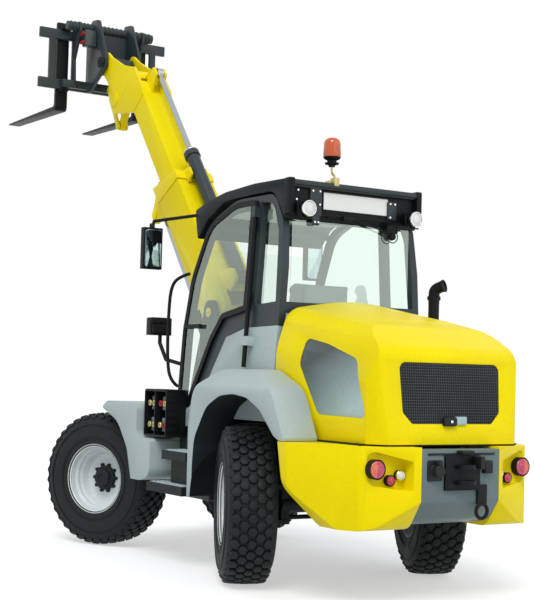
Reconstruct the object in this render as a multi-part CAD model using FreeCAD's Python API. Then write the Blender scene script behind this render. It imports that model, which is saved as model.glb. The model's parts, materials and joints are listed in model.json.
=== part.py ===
"""Telescopic wheel loader with a pallet fork, on four steered wheels.

Millimetres. +X points forwards, +Y to the left and +Z up.
The machine is drawn about a datum on the floor, half way between the axles.
At the end every piece moves together, so that the origin is on the floor at the
middle of the machine's own box.

Each group of pieces is drawn in a frame of its own and then placed:
  wheel frame  at a kingpin's centre, +Y outwards along the wheel's axis
  axle frame   at the middle of an axle
  deck frame   above the rear axle, at the height of the cab's deck
  tower frame  at the boom's pivot, level
  boom frame   at the boom's pivot, +X along the boom
  tool frame   at the fork carriage's pivot, level
"""
import FreeCAD, Part
import math
import os

Vector = FreeCAD.Vector

# Running gear
WHEELBASE = 2150.0
TYRE_DIAMETER = 990.0
TYRE_WIDTH = 320.0
TYRE_WALL = 24.0
TYRE_SHOULDER = 34.0
RIM_SEAT_RADIUS = 230.0
RIM_FLANGE_RADIUS = 250.0
RIM_WIDTH = 280.0
KINGPIN_SPREAD = 1110.0
WHEEL_OFFSET = 150.0
FRONT_STEER_AT_REST = 25.0
REAR_STEER_AT_REST = -25.0
KINGPIN_RADIUS = 22.0
SPINDLE_RADIUS = 35.0
STEER_ARM = 160.0
AXLE_TUBE_RADIUS = 55.0
DIFF_RADIUS = 135.0

# Clearances
PIN_GAP = 0.1
SEAT_GAP = 0.3
PAD_GAP = 0.5
SIDE_GAP = 6.0
WHEEL_ROOM = 12.0
DECK_ROOM = 20.0

# Main frame and boom tower
FRAME_INNER = 180.0
FRAME_PLATE = 25.0
FRAME_DEPTH = 190.0
FRAME_OVER_AXLE = 65.0
FRAME_BELLY = 95.0
FRAME_NOSE = 165.0
FRAME_TAIL = 1015.0
ENGINE_LENGTH = 640.0
ENGINE_WIDTH = 500.0
ENGINE_HEIGHT = 620.0

# Boom
BOOM_ANGLE = 51.19
BOOM_PIVOT_FROM_REAR_AXLE = 1435.0
BOOM_PIVOT_OVER_DECK = 750.0
BOOM_PIN_RADIUS = 35.0
OUTER_BOOM_LENGTH = 1400.0
OUTER_BOOM_HALF_WIDTH = 160.0
OUTER_BOOM_HALF_HEIGHT = 165.0
INNER_BOOM_HALF_WIDTH = 135.0
INNER_BOOM_TOP = 120.0
INNER_BOOM_BOTTOM = 95.0
BOOM_WALL = 12.0
INNER_BOOM_START = 950.0
INNER_BOOM_END = 2480.0
TELESCOPE_CYLINDER_HEIGHT = 248.0
TELESCOPE_BARREL_RADIUS = 54.0
TELESCOPE_ROD_RADIUS = 24.0

# Lift cylinder: its base in tower frame, its eye in boom frame
LIFT_BASE = (-260.0, -960.0)
LIFT_EYE = (1360.0, -360.0)
LIFT_BARREL_RADIUS = 62.0
LIFT_GLAND_LIP = 8.0
LIFT_ROD_RADIUS = 32.0
LIFT_BARREL_LENGTH = 1225.0
LIFT_ROD_LENGTH = 1190.0
LIFT_PIN_RADIUS = 25.0

# Tilt linkage, in boom frame
TOOL_PIVOT = (3090.0, -220.0)
ROCKER_PIVOT = (2680.0, -285.0)
ROCKER_REACH = 240.0
ROCKER_ANGLE = -110.0
TOOL_PIN_RADIUS = 32.0
LINK_PIN_RADIUS = 20.0
CHEEK_INNER = 115.0
CHEEK_PLATE = 25.0

# Fork carriage and forks, in tool frame
CARRIAGE_WIDTH = 1250.0
CARRIAGE_BAR_HEIGHT = 90.0
CARRIAGE_BAR_THICKNESS = 35.0
CARRIAGE_FACE = 385.0
CARRIAGE_UPPER = 285.0
CARRIAGE_LOWER = -165.0
FORK_SPREAD = 774.0
FORK_WIDTH = 110.0
FORK_THICKNESS = 42.0
FORK_LENGTH = 1140.0
FORK_TOP = 400.0
FORK_HEEL = -400.0

# Cab
CAB_HALF_WIDTH_TOP = 520.0
CAB_SIDE_LEAN = 3.4
CAB_POST = 50.0
CAB_WALL = 30.0
GLASS = 6.0
DOOR_POST_X = 258.0
DOOR_BAR_Y = 28.0
DOOR_BAR_RADIUS = 15.0
DOOR_THICKNESS = 18.0

# Rear bodywork
HOOD_HALF_WIDTH = 600.0
HOOD_SKIN = 8.0
HOOD_FRONT = -115.0
HOOD_REAR = -1125.0
HOOD_TOP = 800.0
HOOD_BOTTOM = -72.0
HOOD_HINGE = (-135.0, 745.0)
HOOD_HINGE_Y = 170.0
HOOD_PIN_RADIUS = 8.0
EXHAUST_RADIUS = 35.0
EXHAUST_PLACE = (-455.0, -380.0)
BUMPER_HALF_WIDTH = 860.0
HITCH_HALF_WIDTH = 292.0
HITCH_BORE = 16.0
POCKET_FLOOR = -1080.0
FENDER_HALF_WIDTH = 850.0
TANK_SIDE = 600.0

# Derived places
REAR_X = -WHEELBASE / 2
FRONT_X = WHEELBASE / 2
AXLE_Z = TYRE_DIAMETER / 2
DECK_Z = TYRE_DIAMETER + DECK_ROOM
KINGPIN_Y = KINGPIN_SPREAD / 2
FRAME_OUTER = FRAME_INNER + FRAME_PLATE
SWEEP_RADIUS = math.hypot(AXLE_Z, WHEEL_OFFSET + TYRE_WIDTH / 2 - TYRE_SHOULDER)
PIVOT_X = REAR_X + BOOM_PIVOT_FROM_REAR_AXLE
PIVOT_Z = DECK_Z + BOOM_PIVOT_OVER_DECK

pieces = {}


# ---------------------------------------------------------------- shape helpers

def outline(points, place):
    """Closed wire through (a, b) points; a third value rounds that corner."""
    corners = []
    for index, point in enumerate(points):
        here = Vector(point[0], point[1], 0)
        radius = point[2] if len(point) > 2 else 0
        if radius == 0:
            corners.append([here])
            continue
        before = Vector(*points[index - 1][:2], 0)
        after = Vector(*points[(index + 1) % len(points)][:2], 0)
        back = (before - here).normalize()
        onward = (after - here).normalize()
        half_turn = back.getAngle(onward) / 2
        reach = radius / math.tan(half_turn)
        inward = (back + onward).normalize()
        middle = here + inward * (radius / math.sin(half_turn) - radius)
        corners.append([here + back * reach, middle, here + onward * reach])
    edges = []
    for index, corner in enumerate(corners):
        if len(corner) == 3:
            edges.append(Part.Arc(*[place(p) for p in corner]).toShape())
        start = place(corner[-1])
        end = place(corners[(index + 1) % len(corners)][0])
        if start.distanceToPoint(end) > 0.001:
            edges.append(Part.LineSegment(start, end).toShape())
    return Part.Wire(edges)


def slab_xz(points, low, high):
    """Outline in X and Z, solid from y = low to y = high."""
    wire = outline(points, lambda p: Vector(p.x, low, p.y))
    return Part.Face(wire).extrude(Vector(0, high - low, 0))


def slab_yz(points, low, high):
    """Outline in Y and Z, solid from x = low to x = high."""
    wire = outline(points, lambda p: Vector(low, p.x, p.y))
    return Part.Face(wire).extrude(Vector(high - low, 0, 0))


def slab_xy(points, low, high):
    """Outline in X and Y, solid from z = low to z = high."""
    wire = outline(points, lambda p: Vector(p.x, p.y, low))
    return Part.Face(wire).extrude(Vector(0, 0, high - low))


def block(x, y, z):
    """Box between the two values given for each axis."""
    size = [high - low for low, high in (x, y, z)]
    return Part.makeBox(*size, Vector(x[0], y[0], z[0]))


def bar(start, end, radius):
    """Round bar from one point to another."""
    start, end = Vector(*start), Vector(*end)
    return Part.makeCylinder(radius, start.distanceToPoint(end), start, end - start)


def across(a, b, radius, low, high):
    """Round bar along Y at x = a, z = b."""
    return bar((a, low, b), (a, high, b), radius)


def turned(profile, axis=Vector(0, 1, 0)):
    """Profile of (along, radius) points turned about an axis through the origin."""
    if axis.y:
        wire = outline(profile, lambda p: Vector(0, p.x, p.y))
    elif axis.x:
        wire = outline(profile, lambda p: Vector(p.x, 0, p.y))
    else:
        wire = outline(profile, lambda p: Vector(p.y, 0, p.x))
    return Part.Face(wire).revolve(Vector(0, 0, 0), axis, 360)


def joined(*shapes):
    """Shapes that touch or overlap, made one solid."""
    return shapes[0].fuse(list(shapes[1:])).removeSplitter()


def less(shape, *tools):
    """Shape with the tools cut away."""
    return shape.cut(list(tools))


def moved(shape, x=0.0, y=0.0, z=0.0):
    copy = shape.copy()
    copy.translate(Vector(x, y, z))
    return copy


def rotated(shape, degrees, axis, about=Vector(0, 0, 0)):
    copy = shape.copy()
    copy.rotate(about, axis, degrees)
    return copy


def mirrored(shape):
    """The other side's copy, across the middle plane."""
    return shape.mirror(Vector(0, 0, 0), Vector(0, 1, 0))


def both_sides(*shapes):
    """Left-hand shapes with their right-hand copies."""
    return list(shapes) + [mirrored(shape) for shape in shapes]


def solids_of(shapes):
    return [solid for shape in shapes for solid in shape.Solids]


def keep(name, *shapes):
    """Store a named piece."""
    pieces[name] = Part.Compound(solids_of(shapes))


def on_deck(shape):
    return moved(shape, REAR_X, 0, DECK_Z)


def on_tower(shape):
    return moved(shape, PIVOT_X, 0, PIVOT_Z)


def on_boom(shape):
    return on_tower(rotated(shape, -BOOM_ANGLE, Vector(0, 1, 0)))


def boom_point(along, over):
    """Vehicle coordinates of a point given in boom frame."""
    angle = math.radians(BOOM_ANGLE)
    x = PIVOT_X + along * math.cos(angle) - over * math.sin(angle)
    z = PIVOT_Z + along * math.sin(angle) + over * math.cos(angle)
    return Vector(x, 0, z)


def on_tool(shape):
    pivot = boom_point(*TOOL_PIVOT)
    return moved(shape, pivot.x, 0, pivot.z)


def wheel_rooms(margin=WHEEL_ROOM):
    """What each tyre sweeps as it steers, with room to spare."""
    rooms = []
    for x in (REAR_X, FRONT_X):
        ball = Part.makeSphere(SWEEP_RADIUS + margin, Vector(x, KINGPIN_Y, AXLE_Z))
        lid = block((x - 900, x + 900), (-900, 1900), (-500, TYRE_DIAMETER + margin))
        rooms += both_sides(ball.common(lid))
    return rooms


# ---------------------------------------------------------------- running gear

def wheel_corners():
    """Name, axle x, side (+1 left) and steering angle of each wheel."""
    corners = []
    for end, x, angle in (
        ("front", FRONT_X, FRONT_STEER_AT_REST),
        ("rear", REAR_X, REAR_STEER_AT_REST),
    ):
        for side, sign in (("left", 1), ("right", -1)):
            corners.append((f"{end}_{side}", x, sign, angle))
    return corners


def place_at_kingpin(shape, x, sign, angle):
    if sign < 0:
        shape = mirrored(shape)
    shape = rotated(shape, angle, Vector(0, 0, 1))
    return moved(shape, x, sign * KINGPIN_Y, AXLE_Z)


def make_tyre():
    """Hollow tyre with its beads on the rim's seats."""
    half = TYRE_WIDTH / 2
    outer = TYRE_DIAMETER / 2
    seat = RIM_SEAT_RADIUS
    bead = RIM_WIDTH / 2 - 16
    side = [
        (bead - 44, seat),
        (bead, seat),
        (bead, seat + 26),
        (half - 8, seat + 62),
        (half, outer - 120, 70),
        (half - 6, outer - 52, 20),
        (half - TYRE_SHOULDER, outer - 8, 20),
        (0, outer),
    ]
    inner = [
        (0, outer - TYRE_WALL - 8),
        (half - 50, outer - TYRE_WALL - 22),
        (half - TYRE_WALL, outer - 70),
        (half - TYRE_WALL, outer - 130),
        (bead - 26, seat + 34),
        (bead - 44, seat + 22),
    ]
    left = side + inner
    right = [(-p[0],) + tuple(p[1:]) for p in reversed(left)]
    half_left = turned(left)
    half_right = turned(right)
    return moved(joined(half_left, half_right), y=WHEEL_OFFSET)


def make_rim():
    """Dished rim, its disc and the hub that turns with it."""
    edge = RIM_WIDTH / 2
    seat, flange = RIM_SEAT_RADIUS, RIM_FLANGE_RADIUS
    well = seat - 25
    ring = turned([
        (edge, flange), (edge - 16, flange), (edge - 16, seat), (edge - 60, seat),
        (edge - 85, well), (85 - edge, well), (60 - edge, seat), (16 - edge, seat),
        (16 - edge, flange), (-edge, flange), (-edge, seat - 10), (55 - edge, seat - 10),
        (80 - edge, well - 10), (edge - 80, well - 10), (edge - 55, seat - 10),
        (edge, seat - 10),
    ])
    disc = turned([(-25, 60), (-12, 60), (-12, 140), (-4, 165), (-4, well - 5),
                   (-18, well - 5), (-18, 168), (-25, 145)])
    hub = turned([(-32, SPINDLE_RADIUS + PIN_GAP), (-32, 88), (44, 88, 8), (50, 62, 6),
                  (84, 56, 12), (84, 0), (42, 0), (42, SPINDLE_RADIUS + PIN_GAP)])
    return moved(joined(ring, disc, hub), y=WHEEL_OFFSET)


def make_knuckle():
    """Swivel housing with its kingpins, wheel spindle and steering arm."""
    housing = bar((0, 0, -88), (0, 0, 88), 68)
    pins = bar((0, 0, -130), (0, 0, 130), KINGPIN_RADIUS)
    horn = bar((0, 0, 0), (0, 112, 0), 75)
    spindle = bar((0, 100, 0), (0, WHEEL_OFFSET + 36, 0), SPINDLE_RADIUS)
    return joined(housing, pins, horn, spindle)


def steering_arm(direction):
    """Arm from the kingpin towards the machine's middle, with its eye."""
    tip = direction * STEER_ARM
    arm = block(sorted((0, tip)), (-20, 20), (-87, -63))
    eye = bar((tip, 0, -87), (tip, 0, -63), 24)
    hole = bar((tip, 0, -90), (tip, 0, -60), 12 + PIN_GAP)
    return joined(arm, eye), hole


def make_axle(direction):
    """Axle with its differential, tubes, yokes and frame pads."""
    length = KINGPIN_Y - 75
    core = bar((0, -length, 0), (0, length, 0), AXLE_TUBE_RADIUS)
    diff = Part.makeSphere(DIFF_RADIUS)
    nose = bar((0, 0, 0), (direction * 215, 0, 0), 62)
    parts = [core, diff, nose]
    for sign in (1, -1):
        y = sign * KINGPIN_Y
        web = block((-40, 40), sorted((sign * (length - 60), sign * length)), (-125, 125))
        parts.append(web)
        for low, high in ((95, 125), (-125, -95)):
            ear = block((-45, 45), sorted((sign * (length - 60), y)), (low, high))
            parts.append(ear)
            parts.append(bar((0, y, low), (0, y, high), 45))
        pad_y = sorted((sign * (FRAME_INNER - 15), sign * (FRAME_OUTER + 5)))
        parts.append(block((-75, 75), pad_y, (20, FRAME_OVER_AXLE)))
    axle = joined(*parts)
    holes = [
        bar((0, sign * KINGPIN_Y, -140), (0, sign * KINGPIN_Y, 140), KINGPIN_RADIUS + PIN_GAP)
        for sign in (1, -1)
    ]
    return less(axle, *holes)


def make_tie_rod():
    """Rod under both steering arms, with a stud up through each eye."""
    reach = KINGPIN_SPREAD
    parts = [bar((0, 0, -105), (0, -reach, -105), 15)]
    for y in (0, -reach):
        parts.append(bar((0, y, -122), (0, y, -89), 22))
        parts.append(bar((0, y, -105), (0, y, -58), 12))
    return joined(*parts)


def build_running_gear():
    for end, x, direction in (("front", FRONT_X, -1), ("rear", REAR_X, 1)):
        keep(f"{end}_axle", moved(make_axle(direction), x, 0, AXLE_Z))
    for name, x, sign, angle in wheel_corners():
        direction = -1 if x > 0 else 1
        arm, hole = steering_arm(direction)
        knuckle = less(joined(make_knuckle(), arm), hole)
        keep(f"{name}_knuckle", place_at_kingpin(knuckle, x, sign, angle))
        keep(f"{name}_tyre", place_at_kingpin(make_tyre(), x, sign, angle))
        keep(f"{name}_rim", place_at_kingpin(make_rim(), x, sign, angle))
    for end, x, direction, angle in (
        ("front", FRONT_X, -1, FRONT_STEER_AT_REST),
        ("rear", REAR_X, 1, REAR_STEER_AT_REST),
    ):
        tip = arm_tip(x, direction, angle)
        keep(f"{end}_tie_rod", moved(make_tie_rod(), tip.x, tip.y, AXLE_Z))


def arm_tip(x, direction, angle):
    """Where the left steering arm's eye is at rest."""
    turn = math.radians(angle)
    reach = direction * STEER_ARM
    return Vector(x + reach * math.cos(turn), KINGPIN_Y + reach * math.sin(turn), AXLE_Z)


def build_driveline():
    """Gearbox between the axles and a shaft to each differential."""
    height = AXLE_Z
    nose = 215 + SEAT_GAP
    case = block((-170, 170), (-130, 130), (height - 110, height + 90))
    shafts = bar((REAR_X + nose, 0, height), (FRONT_X - nose, 0, height), 26)
    flanges = [
        bar((REAR_X + nose, 0, height), (REAR_X + nose + 20, 0, height), 52),
        bar((FRONT_X - nose - 20, 0, height), (FRONT_X - nose, 0, height), 52),
    ]
    hangers = [
        block((-60, 60), sorted((sign * 120, sign * (FRAME_INNER - SEAT_GAP))),
              (height - 40, height + 40))
        for sign in (1, -1)
    ]
    keep("driveline", joined(case, shafts, *flanges, *hangers))


# ---------------------------------------------------------------- main frame

def build_main_frame():
    """Two side plates that rise to the boom tower, with cross members."""
    low = AXLE_Z + FRAME_OVER_AXLE
    top = low + FRAME_DEPTH
    belly = AXLE_Z - FRAME_BELLY
    nose = FRONT_X + FRAME_NOSE
    tail = REAR_X - FRAME_TAIL
    deck = DECK_Z - 25
    tower = PIVOT_X
    side = [
        (tail, low), (tail, top), (tower - 390, top), (tower - 390, deck, 20),
        (tower - 285, deck + 10, 20), (tower - 285, PIVOT_Z - 580, 60),
        (tower - 100, PIVOT_Z - 20, 60), (tower - 70, PIVOT_Z + 92, 70),
        (tower + 70, PIVOT_Z + 92, 70), (tower + 100, PIVOT_Z - 60, 80),
        (tower + 330, DECK_Z - 40, 200), (tower + 560, top, 60), (nose, top - 40, 30),
        (nose, low), (FRONT_X - 150, low), (FRONT_X - 250, belly),
        (REAR_X + 260, belly), (REAR_X + 160, low),
    ]
    plates = both_sides(slab_xz(side, FRAME_INNER, FRAME_OUTER))
    inner = (-FRAME_INNER, FRAME_INNER)
    cross = [
        block((tail, tail + 30), inner, (low, top)),
        less(block((REAR_X + 290, REAR_X + 330), inner, (belly, top)),
             bar((REAR_X, 0, AXLE_Z), (0, 0, AXLE_Z), 48)),
        block((tower - 390, tower - 372), inner, (AXLE_Z + 130, deck)),
        block((nose - 40, nose), inner, (low, low + 120)),
        block((tower + 180, tower + 230), inner, (belly, belly + 50)),
    ]
    base_x, base_z = tower + LIFT_BASE[0], PIVOT_Z + LIFT_BASE[1]
    lift_pin = across(base_x, base_z, LIFT_PIN_RADIUS, -FRAME_INNER, FRAME_INNER)
    hole_radius = BOOM_PIN_RADIUS + PIN_GAP
    boom_hole = across(tower, PIVOT_Z, hole_radius, -FRAME_OUTER - 5, FRAME_OUTER + 5)
    keep("main_frame", less(joined(*plates, *cross, lift_pin), boom_hole))


def build_engine():
    """Engine and cooling pack as one plain block on the rear frame."""
    low = AXLE_Z + FRAME_OVER_AXLE + FRAME_DEPTH + SEAT_GAP
    front = REAR_X - 250
    half = ENGINE_WIDTH / 2
    keep("engine_block", block((front - ENGINE_LENGTH, front), (-half, half), (low, low + ENGINE_HEIGHT)))


# ---------------------------------------------------------------- boom

def lift_geometry():
    """Base, eye, length and angle of the lift cylinder at rest."""
    base = Vector(PIVOT_X + LIFT_BASE[0], 0, PIVOT_Z + LIFT_BASE[1])
    eye = boom_point(*LIFT_EYE)
    span = eye - base
    return base, eye, span.Length, math.degrees(math.atan2(span.z, span.x))


def build_outer_boom():
    """Box-section boom with its pivot, front collar and lift lugs."""
    half_w, half_h = OUTER_BOOM_HALF_WIDTH, OUTER_BOOM_HALF_HEIGHT
    length = OUTER_BOOM_LENGTH
    side = [(-110, -60, 60), (-20, -half_h, 60), (length + 60, -half_h),
            (length - 70, half_h), (-40, half_h, 60), (-110, 60, 50)]
    tube = slab_xz(side, -half_w, half_w)
    bore = block((90, length + 200), (BOOM_WALL - half_w, half_w - BOOM_WALL),
                 (BOOM_WALL - half_h, half_h - BOOM_WALL))
    slot = block((-200, 91), (-110, 110), (-400, 400))
    collar = slab_xz([(length - 90, -half_h - 14), (length + 70, -half_h - 14),
                      (length - 60, half_h + 14), (length - 150, half_h + 14)],
                     -half_w - 8, half_w + 8)
    pads = []
    pad_x = (length - 200, length - 80)
    pads += both_sides(block(pad_x, (INNER_BOOM_HALF_WIDTH + PAD_GAP, half_w - 2), (-40, 50)))
    pads.append(block(pad_x, (-60, 60), (INNER_BOOM_TOP + PAD_GAP, half_h - 2)))
    pads.append(block(pad_x, (-60, 60), (2 - half_h, -INNER_BOOM_BOTTOM - PAD_GAP)))
    hub = across(0, 0, BOOM_PIN_RADIUS + 32, -half_w, half_w)
    pin = across(0, 0, BOOM_PIN_RADIUS, -FRAME_OUTER - 12, FRAME_OUTER + 12)
    washers = both_sides(across(0, 0, BOOM_PIN_RADIUS + 30, half_w, FRAME_INNER - 1))
    eye_x, eye_z = LIFT_EYE
    lug_side = [(eye_x - 150, 2 - half_h), (eye_x - 70, eye_z - 45, 40),
                (eye_x + 35, eye_z - 62, 45), (eye_x + 75, eye_z + 10, 40),
                (eye_x + 190, 2 - half_h)]
    lug_y = LIFT_BARREL_RADIUS + LIFT_GLAND_LIP + SIDE_GAP
    lugs = both_sides(slab_xz(lug_side, lug_y, lug_y + 22))
    caps = both_sides(across(eye_x, eye_z, LIFT_PIN_RADIUS + 12, lug_y + 20, lug_y + 38))
    ears = both_sides(slab_xz([(70, half_h - 2), (90, 300, 30), (190, 300, 40), (290, half_h - 2)],
                              66, 88))
    ear_pin = across(140, TELESCOPE_CYLINDER_HEIGHT, 20, -88, 88)
    cradle_y = TELESCOPE_BARREL_RADIUS + 8
    cradle = both_sides(slab_xz([(length - 190, half_h + 10), (length - 170, 255, 20),
                                 (length - 90, 255, 20), (length - 60, half_h + 10)],
                                cradle_y, cradle_y + 18))
    hollow = less(joined(tube, collar), bore, slot)
    boom = joined(hollow, *pads, hub, pin, *washers, *lugs, *caps, *ears, ear_pin, *cradle)
    keep("outer_boom", on_boom(boom))


def build_telescope_cylinder():
    """Barrel on the outer boom and rod on the inner one."""
    height = TELESCOPE_CYLINDER_HEIGHT
    gland = OUTER_BOOM_LENGTH + 25
    radius, rod = TELESCOPE_BARREL_RADIUS, TELESCOPE_ROD_RADIUS
    tube = turned([(185, rod + 14), (185, radius), (gland, radius), (gland, radius + 10),
                   (gland + 50, radius + 10), (gland + 50, rod + PIN_GAP),
                   (gland - 20, rod + PIN_GAP), (gland - 20, rod + 14)], Vector(1, 0, 0))
    base = bar((165, 0, 0), (190, 0, 0), radius)
    base_eye = less(joined(across(140, 0, 42, -50, 50), base),
                    across(140, 0, 20 + PIN_GAP, -60, 60))
    barrel = joined(tube, base_eye)
    keep("telescope_barrel", on_boom(moved(barrel, z=height)))
    far = INNER_BOOM_END - 30
    shaft = bar((far - 1240, 0, 0), (far, 0, 0), rod)
    eye = less(across(far, 0, 40, -28, 28), across(far, 0, 18 + PIN_GAP, -40, 40))
    piston_rod = less(joined(shaft, eye), across(far, 0, 18 + PIN_GAP, -40, 40))
    keep("telescope_rod", on_boom(moved(piston_rod, z=height)))


def build_lift_cylinder():
    """Barrel pinned in the frame and rod with its eye between the boom's lugs."""
    base, eye, span, angle = lift_geometry()
    rod = LIFT_ROD_RADIUS
    tube = turned([(60, 0), (60, LIFT_BARREL_RADIUS), (LIFT_BARREL_LENGTH - 60, LIFT_BARREL_RADIUS),
                   (LIFT_BARREL_LENGTH - 60, LIFT_BARREL_RADIUS + LIFT_GLAND_LIP),
                   (LIFT_BARREL_LENGTH, LIFT_BARREL_RADIUS + LIFT_GLAND_LIP),
                   (LIFT_BARREL_LENGTH, rod + PIN_GAP), (LIFT_BARREL_LENGTH - 60, rod + PIN_GAP),
                   (LIFT_BARREL_LENGTH - 60, LIFT_BARREL_RADIUS - 12),
                   (78, LIFT_BARREL_RADIUS - 12), (78, 0)], Vector(1, 0, 0))
    barrel = joined(tube, across(0, 0, 58, -50, 50), block((0, 70), (-40, 40), (-50, 50)))
    barrel = less(barrel, across(0, 0, LIFT_PIN_RADIUS + PIN_GAP, -60, 60))
    head = less(across(span, 0, 50, -46, 46),
                across(span, 0, LIFT_PIN_RADIUS + PIN_GAP, -60, 60))
    stem = bar((span - LIFT_ROD_LENGTH, 0, 0), (span, 0, 0), rod)
    stem = less(stem, across(span, 0, LIFT_PIN_RADIUS + 10, -60, 60))
    for name, shape in (("lift_barrel", barrel), ("lift_rod", joined(stem, head))):
        shape = rotated(shape, -angle, Vector(0, 1, 0))
        keep(name, moved(shape, base.x, 0, base.z))


def build_inner_boom():
    """Inner box section with the bent head that carries the tool."""
    half_w = INNER_BOOM_HALF_WIDTH
    top, bottom = INNER_BOOM_TOP, INNER_BOOM_BOTTOM
    start, end = INNER_BOOM_START, INNER_BOOM_END
    tube = block((start, end), (-half_w, half_w), (-bottom, top))
    bore = block((start - 5, end + 5), (BOOM_WALL - half_w, half_w - BOOM_WALL),
                 (BOOM_WALL - bottom, top - BOOM_WALL))
    tool_x, tool_z = TOOL_PIVOT
    rock_x, rock_z = ROCKER_PIVOT
    cheek_side = [
        (end - 170, 2 - bottom), (rock_x - 175, rock_z - 5, 60), (rock_x - 75, rock_z - 95, 60),
        (rock_x + 75, rock_z - 85, 60), (rock_x + 210, rock_z - 5, 80),
        (tool_x - 60, tool_z - 92, 60), (tool_x + 80, tool_z - 92, 70),
        (tool_x + 88, tool_z + 70, 66), (tool_x - 50, tool_z + 110, 60),
        (end + 330, 0, 120), (end + 150, top + 16, 40), (end - 120, top + 16),
        (end - 170, top - 2),
    ]
    outer = CHEEK_INNER + CHEEK_PLATE
    cheeks = both_sides(slab_xz(cheek_side, CHEEK_INNER, outer))
    nose = block((end + 40, end + 130), (-CHEEK_INNER, CHEEK_INNER), (top - 40, top - 5))
    boss = both_sides(across(rock_x, rock_z, 62, outer - 2, outer + 9))
    rocker_pin = across(rock_x, rock_z, LINK_PIN_RADIUS + 6, -outer, outer)
    rod_x = end - 30
    rod_z = TELESCOPE_CYLINDER_HEIGHT
    lugs = both_sides(slab_xz([(rod_x - 110, top - 2), (rod_x - 45, rod_z + 30, 30),
                               (rod_x + 40, rod_z + 30, 30), (rod_x + 90, top - 2)], 34, 52))
    rod_pin = across(rod_x, rod_z, 18, -52, 52)
    tool_hole = across(tool_x, tool_z, TOOL_PIN_RADIUS + PIN_GAP, -300, 300)
    head = joined(less(tube, bore), *cheeks, nose, *boss, rocker_pin, *lugs, rod_pin)
    keep("inner_boom", on_boom(less(head, tool_hole)))


def rocker_offset():
    """Where the rocker's and the coupler's link eyes sit from their pivots."""
    angle = math.radians(ROCKER_ANGLE)
    return ROCKER_REACH * math.cos(angle), ROCKER_REACH * math.sin(angle)


def lever(x, z, dx, dz, boss, eye, half):
    """Plate lever from a pivot to an eye, tapering between the two rounds."""
    length = math.hypot(dx, dz)
    arm = slab_xz([(0, -boss * 0.8), (length, -eye * 0.8), (length, eye * 0.8), (0, boss * 0.8)],
                  -half, half)
    parts = [across(0, 0, boss, -half, half), across(length, 0, eye, -half, half), arm]
    shape = rotated(joined(*parts), -math.degrees(math.atan2(dz, dx)), Vector(0, 1, 0))
    return moved(shape, x, 0, z)


def build_tilt_linkage():
    """Rocker between the head's cheeks and the link to the tool coupler."""
    dx, dz = rocker_offset()
    rock_x, rock_z = ROCKER_PIVOT
    tool_x, tool_z = TOOL_PIVOT
    rocker = lever(rock_x, rock_z, dx, dz, 46, 34, 24)
    rocker = less(rocker, across(rock_x, rock_z, LINK_PIN_RADIUS + 6 + PIN_GAP, -60, 60),
                  across(rock_x + dx, rock_z + dz, LINK_PIN_RADIUS + PIN_GAP, -60, 60))
    keep("tilt_rocker", on_boom(rocker))
    start_x, start_z = rock_x + dx, rock_z + dz
    span_x, span_z = tool_x - rock_x, tool_z - rock_z
    side = moved(lever(start_x, start_z, span_x, span_z, 30, 30, 9), y=39)
    pins = [across(start_x, start_z, LINK_PIN_RADIUS, -48, 48),
            across(start_x + span_x, start_z + span_z, LINK_PIN_RADIUS, -48, 48)]
    keep("tilt_link", on_boom(joined(side, mirrored(side), *pins)))


# ---------------------------------------------------------------- fork carriage

def build_quick_coupler():
    """Coupler that turns on the boom's head and hooks up the fork carriage."""
    angle = math.radians(BOOM_ANGLE)
    dx, dz = rocker_offset()
    eye_x = dx * math.cos(angle) - dz * math.sin(angle)
    eye_z = dx * math.sin(angle) + dz * math.cos(angle)
    face = CARRIAGE_FACE - CARRIAGE_BAR_THICKNESS - SEAT_GAP
    inner = CHEEK_INNER + CHEEK_PLATE + 12
    ear_side = [(-70, -45, 50), (-70, 60, 55), (110, 410, 40), (250, 425, 30),
                (face - 35, 300, 20), (face, 300), (face, -210), (face - 90, -230, 40)]
    ears = both_sides(slab_xz(ear_side, inner, inner + 22))
    pin = across(0, 0, TOOL_PIN_RADIUS, -inner - 30, inner + 30)
    drum = across(0, 0, 58, -CHEEK_INNER + 8, CHEEK_INNER - 8)
    hole = across(eye_x, eye_z, LINK_PIN_RADIUS + PIN_GAP, -60, 60)
    arm = less(lever(0, 0, eye_x, eye_z, 50, 34, 24), hole)
    tube = across(235, 345, 42, -420, 420)
    lower = block((face - 70, face), (-420, 420), (-200, -130))
    web = slab_yz([(-inner, -60), (inner, -60), (inner + 20, 340), (-inner - 20, 340)], 215, 235)
    hooks = both_sides(slab_xz([(170, 300, 20), (180, 385, 30), (290, 400, 30), (face, 320),
                                (face, -200), (face - 80, -200), (face - 60, 60, 30)], 300, 322))
    keep("quick_coupler", on_tool(joined(*ears, pin, drum, arm, tube, lower, web, *hooks)))


def build_fork_carriage():
    """Two bars joined by uprights, with hooks over the coupler."""
    half = CARRIAGE_WIDTH / 2
    x = (CARRIAGE_FACE - CARRIAGE_BAR_THICKNESS, CARRIAGE_FACE)
    bars = []
    for centre in (CARRIAGE_UPPER, CARRIAGE_LOWER):
        z = (centre - CARRIAGE_BAR_HEIGHT / 2, centre + CARRIAGE_BAR_HEIGHT / 2)
        bars.append(block(x, (-half, half), z))
    posts = both_sides(block(x, (470, 530), (CARRIAGE_LOWER, CARRIAGE_UPPER)))
    keep("fork_carriage", on_tool(joined(*bars, *posts)))


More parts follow.
